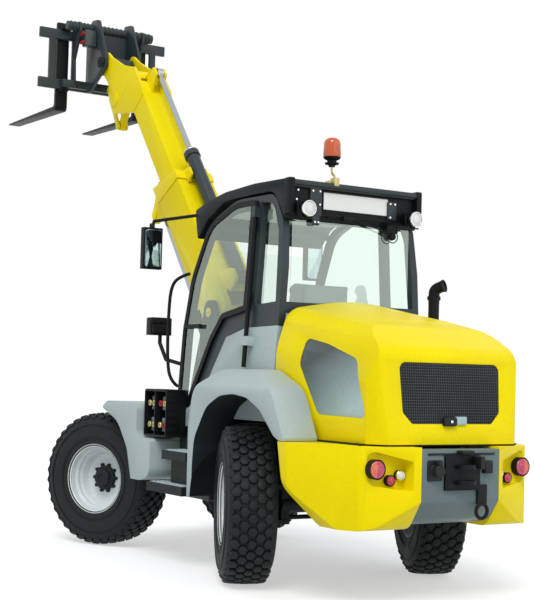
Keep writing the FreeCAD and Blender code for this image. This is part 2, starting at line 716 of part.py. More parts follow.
def build_forks():
    """Pair of forged forks hung on the carriage bars."""
    back = CARRIAGE_FACE + SEAT_GAP
    thick = FORK_THICKNESS
    tip = back + FORK_LENGTH
    side = [(back, FORK_TOP), (back, FORK_HEEL, 40), (tip, FORK_HEEL + 25), (tip, FORK_HEEL + 38),
            (back + 500, FORK_HEEL + thick), (back + thick, FORK_HEEL + thick, 25),
            (back + thick, FORK_TOP)]
    fork = slab_xz(side, FORK_SPREAD / 2 - FORK_WIDTH / 2, FORK_SPREAD / 2 + FORK_WIDTH / 2)
    hooks = []
    for centre, sign in ((CARRIAGE_UPPER, 1), (CARRIAGE_LOWER, -1)):
        edge = centre + sign * (CARRIAGE_BAR_HEIGHT / 2 + SEAT_GAP)
        y = (FORK_SPREAD / 2 - 40, FORK_SPREAD / 2 + 40)
        over = block((back - CARRIAGE_BAR_THICKNESS - 18, back + 2), y,
                     sorted((edge, edge + sign * 20)))
        hooks.append(over)
    keep("forks", *[on_tool(s) for s in both_sides(joined(fork, *hooks))])


# ---------------------------------------------------------------- cab

def leaned(shape):
    """Left side panel drawn at y = 0 downwards, set at the cab's lean."""
    height = 1400.0
    tipped = rotated(shape, CAB_SIDE_LEAN, Vector(1, 0, 0), Vector(0, 0, height))
    return moved(tipped, y=CAB_HALF_WIDTH_TOP)


CAB_OUTER = [(-75, 30), (-75, 1000), (-40, 1300, 120), (80, 1475, 120), (560, 1478, 500),
             (900, 1345, 260), (1085, 985, 500), (1150, 600, 300), (1155, 60)]
CAB_GLAZED = [(-25, 770), (0, 1230, 160), (90, 1425, 110), (540, 1428, 420),
              (860, 1310, 240), (1040, 960, 460), (1105, 600, 300), (1108, 110),
              (975, 110), (735, 530, 120), (600, 690, 60), (240, 752, 200)]
CAB_BAND = [(-200, 620), (310, 605), (560, 545), (775, 230), (960, 0)]


def glazed(x_range, grow, low, high):
    """Slab of the side's glazed outline between two x values, grown all round."""
    wire = outline(CAB_GLAZED, lambda p: Vector(p.x, 0, p.y))
    corners = [(x_range[0], 0), (x_range[1], 0), (x_range[1], 3000), (x_range[0], 3000)]
    strip = Part.Face(outline(corners, lambda p: Vector(p.x, 0, p.y)))
    face = Part.Face(wire).common(strip).Faces[0]
    if grow:
        face = face.makeOffset2D(grow)
    return moved(face.extrude(Vector(0, high - low, 0)).Solids[0], y=low)


def cross_beam(points):
    """Beam that reaches a little way into the leaning side frames at its own height."""
    drop = 1400.0 - sum(p[1] for p in points) / len(points)
    lean = math.tan(math.radians(CAB_SIDE_LEAN))
    reach = CAB_HALF_WIDTH_TOP - CAB_POST + 12 + drop * lean
    return slab_xz(points, -reach, reach).common(slab_xz(CAB_OUTER, -reach, reach))


def build_cab_frame():
    """Side frames, roof beams and the beams under the front and rear glass."""
    ring = less(slab_xz(CAB_OUTER, -CAB_POST, 0), slab_xz(CAB_GLAZED, -CAB_POST - 5, 5))
    below = slab_xz([(-200, -50)] + CAB_BAND + [(960, -50)], -CAB_POST - 5, 5)
    mid_post = slab_xz([(DOOR_POST_X - 30, 745), (DOOR_POST_X + 30, 740), (DOOR_POST_X + 30, 1450),
                        (DOOR_POST_X - 30, 1450)], -CAB_POST, 0)
    side = joined(less(ring, below), mid_post)
    upper_eye = door_bearing(1330, 1400, -25, 17)
    beams = [
        cross_beam([(-75, 700), (-75, 770), (-25, 770), (-25, 700)]),
        cross_beam([(-45, 1290), (-30, 1340), (80, 1470), (130, 1470), (30, 1300)]),
        cross_beam([(880, 1330), (930, 1290), (1010, 1180), (1050, 1190), (960, 1330),
                    (890, 1370)]),
        cross_beam([(1090, 60), (1140, 60), (1140, 130), (1090, 130)]),
    ]
    hinge_x, hinge_z = HOOD_HINGE
    lug_y = (HOOD_HINGE_Y - 10, HOOD_HINGE_Y + 10)
    arm = slab_xz([(-74, hinge_z - 36), (hinge_x - 8, hinge_z - 13), (hinge_x, hinge_z),
                   (hinge_x + 14, hinge_z - 8), (-74, hinge_z - 8)], *lug_y)
    lug = both_sides(joined(arm, across(hinge_x, hinge_z, 2 * HOOD_PIN_RADIUS, *lug_y)))
    frame = joined(leaned(joined(side, upper_eye)), mirrored(leaned(side)), *beams, *lug)
    hinge_hole = across(hinge_x, hinge_z, HOOD_PIN_RADIUS + PIN_GAP, -400, 400)
    keep("cab_frame", on_deck(less(frame, hinge_hole)))


def door_bearing(low, high, back, front):
    """Block on the cab's side with a bore that holds the door's bar."""
    x = (DOOR_POST_X + back, DOOR_POST_X + front)
    body = block(x, (-4, DOOR_BAR_Y + DOOR_BAR_RADIUS + 6), (low, high))
    hole = bar((DOOR_POST_X, DOOR_BAR_Y, low - 5), (DOOR_POST_X, DOOR_BAR_Y, high + 5),
               DOOR_BAR_RADIUS + PIN_GAP)
    return less(body, hole)


def build_cab_roof():
    """Roof shell with its side plates."""
    side = [(-60, 1300), (-85, 1560, 30), (330, 1565, 600), (700, 1545, 400), (930, 1508, 300),
            (1115, 1455, 20), (1105, 1380), (1075, 1250), (1060, 1250), (940, 1372, 100),
            (700, 1480, 300), (330, 1490, 500), (75, 1490, 130), (-40, 1320, 100)]
    half = CAB_HALF_WIDTH_TOP + 8
    skin = slab_xz(side, -half, half)
    wire = outline(CAB_OUTER, lambda p: Vector(p.x, 0, p.y))
    face = Part.Face(wire).makeOffset2D(SEAT_GAP)
    core = moved(face.extrude(Vector(0, 2 * half - 60, 0)), y=30 - half)
    room = leaned(moved(face.extrude(Vector(0, 400, 0)), y=SEAT_GAP - 400))
    keep("cab_roof", on_deck(less(skin, core, room, mirrored(room))))


def build_cab_body():
    """Floor, lower walls and the rear wall under the window."""
    floor = block((-72, 1120), (-575, 575), (5, 35))
    drop = SEAT_GAP
    top = [(x, z - drop) for x, z in CAB_BAND[:-1]]
    panel = slab_xz([(-72, 5), (-72, 616 - drop)] + top[1:] + [(905, 54), (1150, 54), (1150, 5)],
                    -CAB_WALL, 0)
    bearing = door_bearing(485, 545, -60, 60)
    left = leaned(joined(panel, bearing))
    right = mirrored(leaned(panel))
    rear = joined(block((-72, -42), (-545, 545), (5, 613)),
                  block((-72, -42), (-505, 505), (600, 700 - drop)))
    front = block((1095, 1135), (-545, 545), (5, 54))
    keep("cab_body", on_deck(joined(floor, left, right, rear, front)))


def build_cab_glass():
    """Fixed panes: windscreen, rear window, quarter panes and the right side."""
    glass_y = (-20 - GLASS, -20)
    quarter = (-60.0, DOOR_POST_X - 30 - SEAT_GAP)
    forward = (DOOR_POST_X + 30 + SEAT_GAP, 1200.0)
    rear_pane = leaned(glazed(quarter, -PAD_GAP, *glass_y))
    front_pane = leaned(glazed(forward, -PAD_GAP, *glass_y))
    window = block((-62, -62 + GLASS), (-470, 470), (770 + SEAT_GAP, 1299))
    sheet = slab_xz([(900, 130.3), (1128, 130.3), (1122, 600, 300), (1060, 975, 460),
                     (1030, 1175), (900, 1175)], -458, 458)
    windscreen = less(sheet, moved(sheet, x=-GLASS))
    keep("cab_glass", *[on_deck(s) for s in (rear_pane, mirrored(rear_pane),
                                             mirrored(front_pane), window, windscreen)])


def door_slab(grow, low, high):
    """Slab over the door's part of the glazed outline."""
    return glazed((DOOR_POST_X + 56, 1200.0), grow, low, high)


def build_door():
    """Left door: a bar that turns in two bearings, a thin frame and its glass."""
    low, high = SIDE_GAP, SIDE_GAP + DOOR_THICKNESS
    rim = less(door_slab(24, low, high), door_slab(-14, low - 5, high + 5))
    hinge_bar = bar((DOOR_POST_X, DOOR_BAR_Y, 345), (DOOR_POST_X, DOOR_BAR_Y, 1440),
                    DOOR_BAR_RADIUS)
    straps = [block((DOOR_POST_X + 5, DOOR_POST_X + 60), (DOOR_BAR_Y - 8, DOOR_BAR_Y + 4), z)
              for z in ((760, 830), (1240, 1310))]
    handle_z = 620
    handle = block((860, 1085), (high - 1, high + 22), (handle_z - 14, handle_z + 14))
    keep("door_frame", on_deck(leaned(joined(rim, hinge_bar, *straps, handle))))
    pane = door_slab(-14 - SEAT_GAP, low + 5, low + 5 + GLASS)
    keep("door_glass", on_deck(leaned(pane)))


def build_cab_interior():
    """Seat on its pedestal, and the steering column with its console."""
    base = joined(block((330, 640), (-190, 190), (35.3, 230)),
                  block((270, 700), (-230, 230), (230, 290)),
                  slab_xz([(225, 250), (290, 250), (255, 900, 12), (205, 900, 12)], -170, 170))
    keep("seat_base", on_deck(base))
    cushion = slab_xz([(300, 290.3), (730, 290.3), (740, 380, 45), (700, 420, 50),
                       (330, 385, 30)], -240, 240)
    back = slab_xz([(281, 430, 20), (390, 440, 45), (345, 920, 45), (253, 950, 20)], -230, 230)
    keep("seat_cushions", on_deck(cushion), on_deck(back))
    console = slab_xz([(980, 35.3), (1075, 35.3), (1060, 560, 40), (965, 600, 20), (930, 560, 15)],
                      -140, 140)
    column = bar((990, 0, 300), (830, 0, 640), 32)
    tilt = math.degrees(math.atan2(160, 340))
    ring = Part.makeTorus(185, 13)
    spokes = block((-185, 185), (-20, 20), (-6, 6))
    hub = Part.makeCylinder(45, 40, Vector(0, 0, -25))
    wheel = rotated(joined(ring, spokes, hub), -tilt, Vector(0, 1, 0))
    keep("steering_column", on_deck(joined(console, column, moved(wheel, 822, 0, 655))))


# ---------------------------------------------------------------- rear bodywork

def hood_section(half, shoulder, top, x):
    """Cross-section of the hood at one x, as a closed wire."""
    low = HOOD_BOTTOM - 1
    left = [(-half, low), (-half, shoulder - 260, 400), (-half * 0.86, shoulder, 150)]
    right = [(-p[0],) + tuple(p[1:]) for p in reversed(left)]
    return outline(left + [(0, top, 1500)] + right, lambda p: Vector(x, p.x, p.y))


def hood_solid(inset):
    """The hood's outer form, drawn in by an even inset."""
    rear, top = HOOD_REAR + inset, HOOD_TOP - inset
    half, low = HOOD_HALF_WIDTH - inset, HOOD_BOTTOM - 1
    front = HOOD_FRONT
    side = slab_xz([(front, low), (front, top), (-480, top - 42, 900), (-835, top - 160, 500),
                    (rear + 52, top - 325, 120), (rear, low)], -half, half)
    sections = [hood_section(half, top - 75, top + 8, front),
                hood_section(half - 45, top - 260, top - 150, rear - 60)]
    end = Part.makeLoft(sections, True, True)
    plan = slab_xy([(front, -half), (-880, -half, 500), (rear - 20, 60 - half, 230),
                    (rear - 40, 0, 2500), (rear - 20, half - 60, 230), (-880, half, 500),
                    (front, half)], low, top + 20)
    return side.common(end).common(plan)


HOOD_GRILLE = [(379, 401, 45), (-379, 401, 45), (-366, 112, 30), (-300, 46, 30), (300, 46, 30),
               (366, 112, 30)]
HOOD_WINDOW = [(-388, 538, 40), (-600, 500, 500), (-905, 410, 90), (-1020, 72, 30),
               (-561, 77, 60), (-368, 371, 60)]


def build_hood():
    """Hood skin, with its grille, side panels and hinge lugs."""
    outer, inner = hood_solid(0), hood_solid(HOOD_SKIN)
    below = block((-1300, 0), (-700, 700), (HOOD_BOTTOM - 20, HOOD_BOTTOM))
    ahead = block((HOOD_FRONT - 1, 0), (HOOD_SKIN - HOOD_HALF_WIDTH, HOOD_HALF_WIDTH - HOOD_SKIN),
                  (HOOD_BOTTOM - 5, HOOD_HINGE[1] - 60))
    grille_hole = slab_yz(HOOD_GRILLE, HOOD_REAR - 60, HOOD_REAR + 160)
    window_hole = slab_xz(HOOD_WINDOW, -700, 700)
    pipe_x, pipe_y = EXHAUST_PLACE
    slot = joined(block((pipe_x - 40, pipe_x + 5), (pipe_y - 45, pipe_y + 45), (500, 900)),
                  bar((pipe_x - 40, pipe_y, 500), (pipe_x - 40, pipe_y, 900), 45),
                  bar((pipe_x + 5, pipe_y, 500), (pipe_x + 5, pipe_y, 900), 45))
    skin = less(outer, inner, below, ahead, grille_hole, window_hole, slot)
    skin = less(on_deck(skin), *wheel_rooms())
    hinge_x, hinge_z = HOOD_HINGE
    lug_low, lug_high = HOOD_HINGE_Y - 34, HOOD_HINGE_Y - 16
    lug = slab_xz([(hinge_x - 20, hinge_z - 18, 10), (hinge_x + 18, hinge_z - 18, 10),
                   (hinge_x + 18, hinge_z + 60), (hinge_x - 60, hinge_z + 60)], lug_low, lug_high)
    lug = lug.common(hood_solid(HOOD_SKIN / 2))
    pin = across(hinge_x, hinge_z, HOOD_PIN_RADIUS, lug_low, HOOD_HINGE_Y + 14)
    keep("hood", joined(skin, *[on_deck(s) for s in both_sides(joined(lug, pin))]))
    grille = less(hood_solid(4), hood_solid(20))
    shape = grille.common(slab_yz(shrunk(HOOD_GRILLE), HOOD_REAR - 60, HOOD_REAR + 160))
    keep("hood_grille", on_deck(shape))
    skin_in = less(hood_solid(2), hood_solid(12))
    window = skin_in.common(slab_xz(shrunk(HOOD_WINDOW), 0, 700))
    keep("hood_side_panels", on_deck(window), on_deck(mirrored(window)))


def shrunk(points, gap=SEAT_GAP):
    """Outline drawn in towards its middle by about the gap."""
    middle_a = sum(p[0] for p in points) / len(points)
    middle_b = sum(p[1] for p in points) / len(points)
    size = max(abs(p[0] - middle_a) for p in points)
    scale = 1 - gap / size
    return [(middle_a + (p[0] - middle_a) * scale, middle_b + (p[1] - middle_b) * scale) +
            tuple(r * scale for r in p[2:]) for p in points]


def build_bumper():
    """Cast counterweight halves beside the hitch panel, with lamp pockets."""
    inner = HITCH_HALF_WIDTH + SEAT_GAP
    half = BUMPER_HALF_WIDTH
    plan = slab_xy([(-560, inner), (-560, half), (-650, half, 90), (-1067, 625, 70),
                    (-1200, inner)], -560, HOOD_BOTTOM - 11)
    side = slab_xz([(-560, -83), (-1205, -83), (-1205, -385, 50), (-1100, -545, 80),
                    (-960, -590, 110), (-800, -600, 60), (-615, -330, 140)], 0, half + 10)
    end = slab_yz([(0, -60), (half, -60), (half, -340, 200), (660, -605, 170), (0, -605)],
                  -1300, -500)
    pocket = slab_yz([(335, -165, 15), (575, -105, 50), (622, -205, 45), (575, -300, 50),
                      (335, -335, 15)], -1300, POCKET_FLOOR)
    depth = slab_xy([(POCKET_FLOOR, 700), (POCKET_FLOOR, 200), (-1300, 200), (-1300, 700)],
                    -400, 0)
    engine_room = block((-ENGINE_LENGTH - 290, 0), (0, ENGINE_WIDTH + 15), (-300, 0))
    body = plan.common(side).common(end)
    body = less(body, pocket.common(depth), engine_room)
    body = less(on_deck(body), *wheel_rooms())
    keep("rear_bumper", body, mirrored(body))


def build_hitch():
    """Panel between the bumper halves and the tow hitch bolted to it."""
    half = HITCH_HALF_WIDTH
    front = -FRAME_TAIL - SEAT_GAP
    rear = -1200
    panel = slab_xz([(front, -95), (rear, -95), (rear, -400, 30), (-1120, -510, 80),
                     (front, -540)], -half, half)
    keep("hitch_panel", on_deck(panel))
    face = rear - SEAT_GAP
    plate = block((face - 16, face), (-130, 130), (-330, -130))
    jaws = [slab_xy([(face - 10, -60), (face - 95, -60, 55), (face - 95, 60, 55),
                     (face - 10, 60)], low, low + 24) for low in (-205, -295)]
    hole = bar((face - 55, 0, -320), (face - 55, 0, -150), HITCH_BORE)
    tongue = block((face - 16, face), (-185, -115), (-412, -300))
    ring = Part.makeTorus(42, 11, Vector(face - 12, -150, -455), Vector(1, 0, 0))
    hitch = less(joined(plate, tongue, ring, *jaws), hole)
    keep("tow_hitch", on_deck(hitch))


def build_rear_fenders():
    """Moulded arches over the rear wheels, with a leg ahead of each."""
    low, high = HOOD_HALF_WIDTH + SIDE_GAP, FENDER_HALF_WIDTH
    arch = slab_xz([(540, -505), (545, -60, 200), (500, 190, 200), (300, 335, 150),
                    (-170, 338, 200), (-450, 225, 200), (-602, -60, 15), (-600, -80),
                    (-556, -80), (-495, -53), (-337, 92, 200), (-179, 161, 200), (-17, 179, 300),
                    (148, 164, 300), (315, 88, 200), (462, -121, 200), (500, -505)], low, high)
    arch = arch.common(slab_yz([(low, -520), (low, 350), (745, 330, 90), (high, 225, 60),
                                (high, -520)], -700, 700))
    inner = FRAME_OUTER + SEAT_GAP
    leg = slab_xy([(480, high), (540, high, 40), (640, low, 60), (640, inner), (480, inner)],
                  -505, -30)
    sill = slab_xz([(500, -70), (480, 330), (586, 304, 200), (733, 226, 200), (911, 83, 100),
                    (1145, -30, 20), (1145, -70)], low, low + 20)
    body = less(on_deck(joined(arch, leg, sill)), *wheel_rooms())
    keep("rear_fenders", body, mirrored(body))


def build_front_fenders():
    """Moulded shells behind and over the front wheels, closed on their outer side."""
    high = 820
    form = [(-215, 30, 12), (-300, 78, 120), (-790, 78, 60), (-790, -165, 60), (-1010, -165, 30),
            (-1010, -430, 90), (-860, -464), (-725, -464, 10), (-650, -250, 200),
            (-480, -60, 300), (-250, 10, 10)]
    hollow = [(-200, 0), (-300, 62, 108), (-774, 62, 46), (-774, -181, 76), (-994, -181, 16),
              (-994, -422, 80), (-860, -448), (-700, -448), (-480, -200), (-200, -120)]
    inner = FRAME_OUTER + SEAT_GAP
    shell = less(slab_xz(form, inner, high), slab_xz(hollow, inner + 16, high - 14))
    body = less(moved(shell, FRONT_X, 0, DECK_Z), *wheel_rooms())
    keep("front_fenders", body, mirrored(body))


# ---------------------------------------------------------------- fittings

def build_tanks_and_steps():
    """Side tanks on the frame with the steps hung from them."""
    inner = FRAME_OUTER + SEAT_GAP
    tank = block((-400, 40), (inner, TANK_SIDE), (DECK_Z - 560, DECK_Z - 25))
    keep("side_tanks", *both_sides(tank))
    near = TANK_SIDE + SEAT_GAP
    upper = block((-400, -60), (near, 790), (DECK_Z - 295, DECK_Z - 235))
    lower = block((-430, 80), (near, 830), (DECK_Z - 520, DECK_Z - 460))
    back = block((-380, -110), (near, 740), (DECK_Z - 462, DECK_Z - 293))
    keep("steps", *both_sides(joined(upper, lower, back)))


def build_lamps_and_mirrors():
    """Lamps on stalks, roof lamps, tail lamps, and the mirrors on their arms."""
    lamp = on_deck(block((1435, 1505), (520, 690), (565, 690)))
    knee, elbow = Vector(1460, 600, 510), Vector(1375, 590, 390)
    stalk = joined(bar((1460, 600, 570), knee, 14), bar(knee, elbow, 14),
                   bar(elbow, (1135, 575, 355), 14),
                   Part.makeSphere(14, knee), Part.makeSphere(14, elbow))
    stalk = less(on_deck(stalk), moved(pieces["cab_frame"], x=SEAT_GAP))
    roof_lamp = on_deck(joined(bar((-190, 430, 1362), (-110, 430, 1362), 52),
                               block((-112, -40), (415, 445), (1330, 1380))))
    roof_lamp = less(roof_lamp, moved(pieces["cab_roof"], x=-SEAT_GAP))
    tails = [on_deck(bar((face, y, z), (POCKET_FLOOR - SEAT_GAP, y, z), radius))
             for face, y, z, radius in ((-1122, 548, -210, 56), (-1108, 442, -275, 31),
                                        (-1112, 374, -246, 27))]
    keep("lamps", *both_sides(joined(lamp, stalk.Solids[0]), roof_lamp.Solids[0], *tails))
    glass = on_deck(block((1410, 1460), (630, 780), (1040, 1340)))
    bend = Vector(1435, 690, 1390)
    arm = joined(bar((1435, 705, 1330), bend, 12), bar(bend, (1105, 515, 1420), 12),
                 Part.makeSphere(12, bend))
    arm = less(on_deck(arm), moved(pieces["cab_roof"], x=SEAT_GAP)).Solids[0]
    keep("mirrors", *both_sides(joined(glass, arm)))


def build_beacon_and_plate():
    """Beacon on its stalk and the blank plate on the roof's rear edge."""
    foot = on_deck(block((-80, -30), (140, 200), (1540, 1572)))
    foot = less(foot, moved(pieces["cab_roof"], z=SEAT_GAP))
    stalk = on_deck(bar((-55, 170, 1566), (-55, 170, 1700), 12))
    dome = on_deck(bar((-55, 170, 1700), (-55, 170, 1860), 58))
    keep("beacon", joined(foot, stalk, dome))
    keep("number_plate", on_deck(block((-87, -79), (-270, 250), (1380, 1490))))


def build_exhaust():
    """Exhaust pipe that stands up through the hood."""
    x, y = EXHAUST_PLACE
    low = AXLE_Z + FRAME_OVER_AXLE + FRAME_DEPTH + ENGINE_HEIGHT + 2 * SEAT_GAP - DECK_Z
    foot_y = EXHAUST_RADIUS - ENGINE_WIDTH / 2
    pipe = joined(bar((x, foot_y, low), (x, foot_y, low + 80), EXHAUST_RADIUS),
                  bar((x, y, low + 80), (x, y, 850), EXHAUST_RADIUS),
                  bar((x, foot_y, low + 80), (x, y, low + 80), EXHAUST_RADIUS),
                  Part.makeSphere(EXHAUST_RADIUS, Vector(x, foot_y, low + 80)),
                  Part.makeSphere(EXHAUST_RADIUS, Vector(x, y, low + 80)))
    keep("exhaust_pipe", on_deck(pipe))


def build_valve_block():
    """Hydraulic couplings beside the steps."""
    inner = HOOD_HALF_WIDTH + SIDE_GAP + 20 + SEAT_GAP
    body = block((975, 1315), (inner, 790), (-150, 180))
    keep("valve_block", on_deck(body))


# ---------------------------------------------------------------- output

def build_all():
    build_running_gear()
    build_driveline()
    build_main_frame()
    build_engine()
    build_outer_boom()
    build_telescope_cylinder()
    build_lift_cylinder()
    build_inner_boom()
    build_tilt_linkage()
    build_quick_coupler()
    build_fork_carriage()
    build_forks()
    build_cab_frame()
    build_cab_roof()
    build_cab_body()
    build_cab_glass()
    build_door()
    build_cab_interior()
    build_hood()
    build_bumper()
    build_hitch()
    build_rear_fenders()
    build_front_fenders()
    build_tanks_and_steps()
    build_lamps_and_mirrors()
    build_beacon_and_plate()
    build_exhaust()
    build_valve_block()


build_all()
front_end = pieces["forks"].BoundBox.XMax
rear_end = pieces["tow_hitch"].BoundBox.XMin
ORIGIN = Vector((front_end + rear_end) / 2, 0, 0)
os.makedirs("parts", exist_ok=True)
for piece_name, piece_shape in pieces.items():
    piece_shape.translate(-ORIGIN)
    piece_shape.exportStep(f"parts/{piece_name}.step")
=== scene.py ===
import json
import math

import bmesh
import bpy
from mathutils import Matrix, Vector


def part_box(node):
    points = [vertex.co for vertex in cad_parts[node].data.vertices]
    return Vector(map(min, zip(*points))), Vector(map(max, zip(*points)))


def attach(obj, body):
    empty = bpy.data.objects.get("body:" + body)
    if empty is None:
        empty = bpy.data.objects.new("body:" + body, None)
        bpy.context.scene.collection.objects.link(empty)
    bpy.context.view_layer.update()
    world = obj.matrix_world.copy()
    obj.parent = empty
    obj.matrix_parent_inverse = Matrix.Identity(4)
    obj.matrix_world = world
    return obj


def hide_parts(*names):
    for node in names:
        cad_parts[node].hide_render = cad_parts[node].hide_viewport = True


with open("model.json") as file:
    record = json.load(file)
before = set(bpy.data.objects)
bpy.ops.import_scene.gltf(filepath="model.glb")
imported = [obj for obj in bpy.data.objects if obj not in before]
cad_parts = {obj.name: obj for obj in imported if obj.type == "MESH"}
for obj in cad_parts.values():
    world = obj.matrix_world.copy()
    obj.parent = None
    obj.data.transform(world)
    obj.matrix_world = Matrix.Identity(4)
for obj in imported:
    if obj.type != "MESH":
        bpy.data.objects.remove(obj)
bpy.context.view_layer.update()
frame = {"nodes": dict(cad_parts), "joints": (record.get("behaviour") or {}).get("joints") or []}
nodes = frame["nodes"]
joints = {joint["name"]: joint for joint in frame["joints"]}
bpy.ops.object.select_all(action="DESELECT")


# Studio: a matt white floor that runs out of sight under a plain white sky. It is lit by a
# broad soft lamp high behind the left side, a weaker one behind the right side, and the even
# light of the room.
def linear(code):
    """An sRGB hex colour as linear red, green, blue and alpha."""
    shares = [int(code[place:place + 2], 16) / 255 for place in (1, 3, 5)]
    return [s / 12.92 if s <= 0.04045 else ((s + 0.055) / 1.055) ** 2.4 for s in shares] + [1.0]


def wire(tree, node, values=None, links=None):
    """Sets a node's sockets to values, and links others to sockets or nodes' first outputs."""
    for socket, value in (values or {}).items():
        node.inputs[socket].default_value = value
    for socket, source in (links or {}).items():
        if isinstance(source, bpy.types.Node):
            source = next(output for output in source.outputs if output.enabled)
        tree.links.new(source, node.inputs[socket])
    return node


def add(tree, kind, values=None, links=None, **settings):
    """One node, with its settings, socket values and incoming links."""
    made = tree.nodes.new(kind)
    for key, value in settings.items():
        setattr(made, key, value)
    return wire(tree, made, values, links)


def seen_directly(tree):
    """1 for rays that reach the eye straight, by reflection or through glass."""
    path = add(tree, "ShaderNodeLightPath")
    first = add(tree, "ShaderNodeMath", operation="MAXIMUM",
                links={0: path.outputs["Is Camera Ray"], 1: path.outputs["Is Glossy Ray"]})
    return add(tree, "ShaderNodeMath", operation="MAXIMUM",
               links={0: first, 1: path.outputs["Is Transmission Ray"]})


sky = bpy.data.worlds.new("white_room")
bpy.context.scene.world = sky
sky.use_nodes = True
tree = sky.node_tree
tree.nodes.clear()
ROOM_LIGHT = 0.62
room = add(tree, "ShaderNodeBackground", {"Color": linear("#f4f7fa"), "Strength": ROOM_LIGHT})
white = add(tree, "ShaderNodeBackground", {"Color": (1, 1, 1, 1), "Strength": 1.0})
either = add(tree, "ShaderNodeMixShader", links={0: seen_directly(tree), 1: room, 2: white})
add(tree, "ShaderNodeOutputWorld", links={"Surface": either})

FLOOR_SIZE = 160
FLOOR_DROP = 0.002
bpy.ops.mesh.primitive_plane_add(size=FLOOR_SIZE, location=(0, 0, -FLOOR_DROP))
floor = bpy.context.object
floor.name = "floor"
paper = bpy.data.materials.new("white_floor_paper")
paper.use_nodes = True
tree = paper.node_tree
tree.nodes.clear()
# The paper glows where it is seen, so that it meets the white of the sky.
SEEN_GLOW, UNSEEN_GLOW = 0.46, 0.05
matt = add(tree, "ShaderNodeBsdfDiffuse", {"Color": (0.62, 0.62, 0.625, 1)})
lift = add(tree, "ShaderNodeMath", {1: SEEN_GLOW, 2: UNSEEN_GLOW}, {0: seen_directly(tree)},
           operation="MULTIPLY_ADD")
glow = add(tree, "ShaderNodeEmission", {"Color": (1, 1, 1, 1)}, {"Strength": lift})
both = add(tree, "ShaderNodeAddShader", links={0: matt, 1: glow})
add(tree, "ShaderNodeOutputMaterial", links={"Surface": both})
floor.data.materials.append(paper)

for name, place, energy, breadth_deg, aim in (
        ("soft_key", (-6, 8, 12), 1.5, 28, (0.62, -0.52, -1.0)),
        ("soft_fill", (-9, -4, 6), 0.45, 60, (0.9, 0.35, -0.45))):
    bpy.ops.object.light_add(type="SUN", location=place)
    lamp = bpy.context.object
    lamp.name = name
    lamp.data.energy = energy
    lamp.data.angle = math.radians(breadth_deg)
    lamp.rotation_euler = Vector(aim).to_track_quat("-Z", "Y").to_euler()


# Camera: it stands behind the machine's left rear corner at chest height and looks a little
# up. Its place is counted from the middle of the wheelbase on the floor.
front_x = joints["front_left_steer"]["pos_m"][0]
rear_x = joints["rear_left_steer"]["pos_m"][0]
middle_x = (front_x + rear_x) / 2
BEHIND, LEFTWARD, HEIGHT = 8.1702, 5.0619, 1.3376
LENS_MM, SENSOR_MM = 79.28, 36
SIGHT_LIMIT = 300
YAW, PITCH, ROLL = (math.radians(angle) for angle in (-32.096, 2.785, 1.572))
ahead = Vector((math.cos(PITCH) * math.cos(YAW), math.cos(PITCH) * math.sin(YAW),
                math.sin(PITCH)))
level = Vector((math.sin(YAW), -math.cos(YAW), 0))
upright = level.cross(ahead)
right = level * math.cos(ROLL) + upright * math.sin(ROLL)
upward = upright * math.cos(ROLL) - level * math.sin(ROLL)
turn = Matrix((right, upward, -ahead)).transposed()
bpy.ops.object.camera_add(location=(middle_x - BEHIND, LEFTWARD, HEIGHT))
camera = bpy.context.object
camera.rotation_euler = turn.to_euler()
camera.data.lens = LENS_MM
camera.data.sensor_width = SENSOR_MM
camera.data.shift_x = 0.0016
camera.data.shift_y = 0.011
camera.data.clip_end = SIGHT_LIMIT
bpy.context.scene.camera = camera
bpy.context.scene.view_settings.view_transform = "Standard"


# Painted steel and moulded panels: powder coat or gloss enamel over steel, sprayed and
# baked. It gives a clean even colour, a faint orange peel and a sharp reflection.
def blank(name):
    """A new material: itself, its tree, its shader and its Object coordinates."""
    material = bpy.data.materials.new(name)
    material.use_nodes = True
    tree = material.node_tree
    place = add(tree, "ShaderNodeTexCoord").outputs["Object"]
    return material, tree, tree.nodes["Principled BSDF"], place


# The colour drifts over about 0.6 m, and dust lies on it in patches of about 26 mm.
DRIFT_SCALE, DUST_SCALE = 1.7, 38.0
COAT_ROUGHNESS = 0.08


def coated(name, colour, shade, roughness, coat, peel_mm, shine="#ffffff", level=0.32):
    """A paint with broad colour drift, peel at its real size and a clear top coat."""
    material, tree, shader, place = blank(name)
    drift = add(tree, "ShaderNodeTexNoise", {"Scale": DRIFT_SCALE, "Detail": 2.0},
                {"Vector": place})
    dust = add(tree, "ShaderNodeTexNoise", {"Scale": DUST_SCALE, "Detail": 6.0, "Roughness": 0.7},
               {"Vector": place})
    peel = add(tree, "ShaderNodeTexNoise", {"Scale": 1000 / peel_mm, "Detail": 1.0},
               {"Vector": place})
    share = add(tree, "ShaderNodeMath", {2: 0.0}, {0: drift, 1: dust}, operation="MULTIPLY")
    spread = add(tree, "ShaderNodeMapRange", {1: 0.12, 2: 0.42, 3: 0.0, 4: 1.0}, {0: share})
    tint = add(tree, "ShaderNodeMix", {6: linear(shade), 7: linear(colour)}, {0: spread},
               data_type="RGBA")
    gloss = add(tree, "ShaderNodeMapRange",
                {1: 0.3, 2: 0.7, 3: roughness * 0.85, 4: roughness * 1.2}, {0: dust})
    relief = add(tree, "ShaderNodeBump", {"Strength": 0.18, "Distance": 0.0004}, {"Height": peel})
    wire(tree, shader, {"Specular IOR Level": level, "Specular Tint": linear(shine),
                        "Coat Weight": coat, "Coat Roughness": COAT_ROUGHNESS},
         {"Base Color": tint, "Roughness": gloss, "Normal": relief})
    return material


def dress(material, *names):
    """Gives CAD nodes this material."""
    for name in names:
        for place in nodes[name].material_slots:
            place.material = material


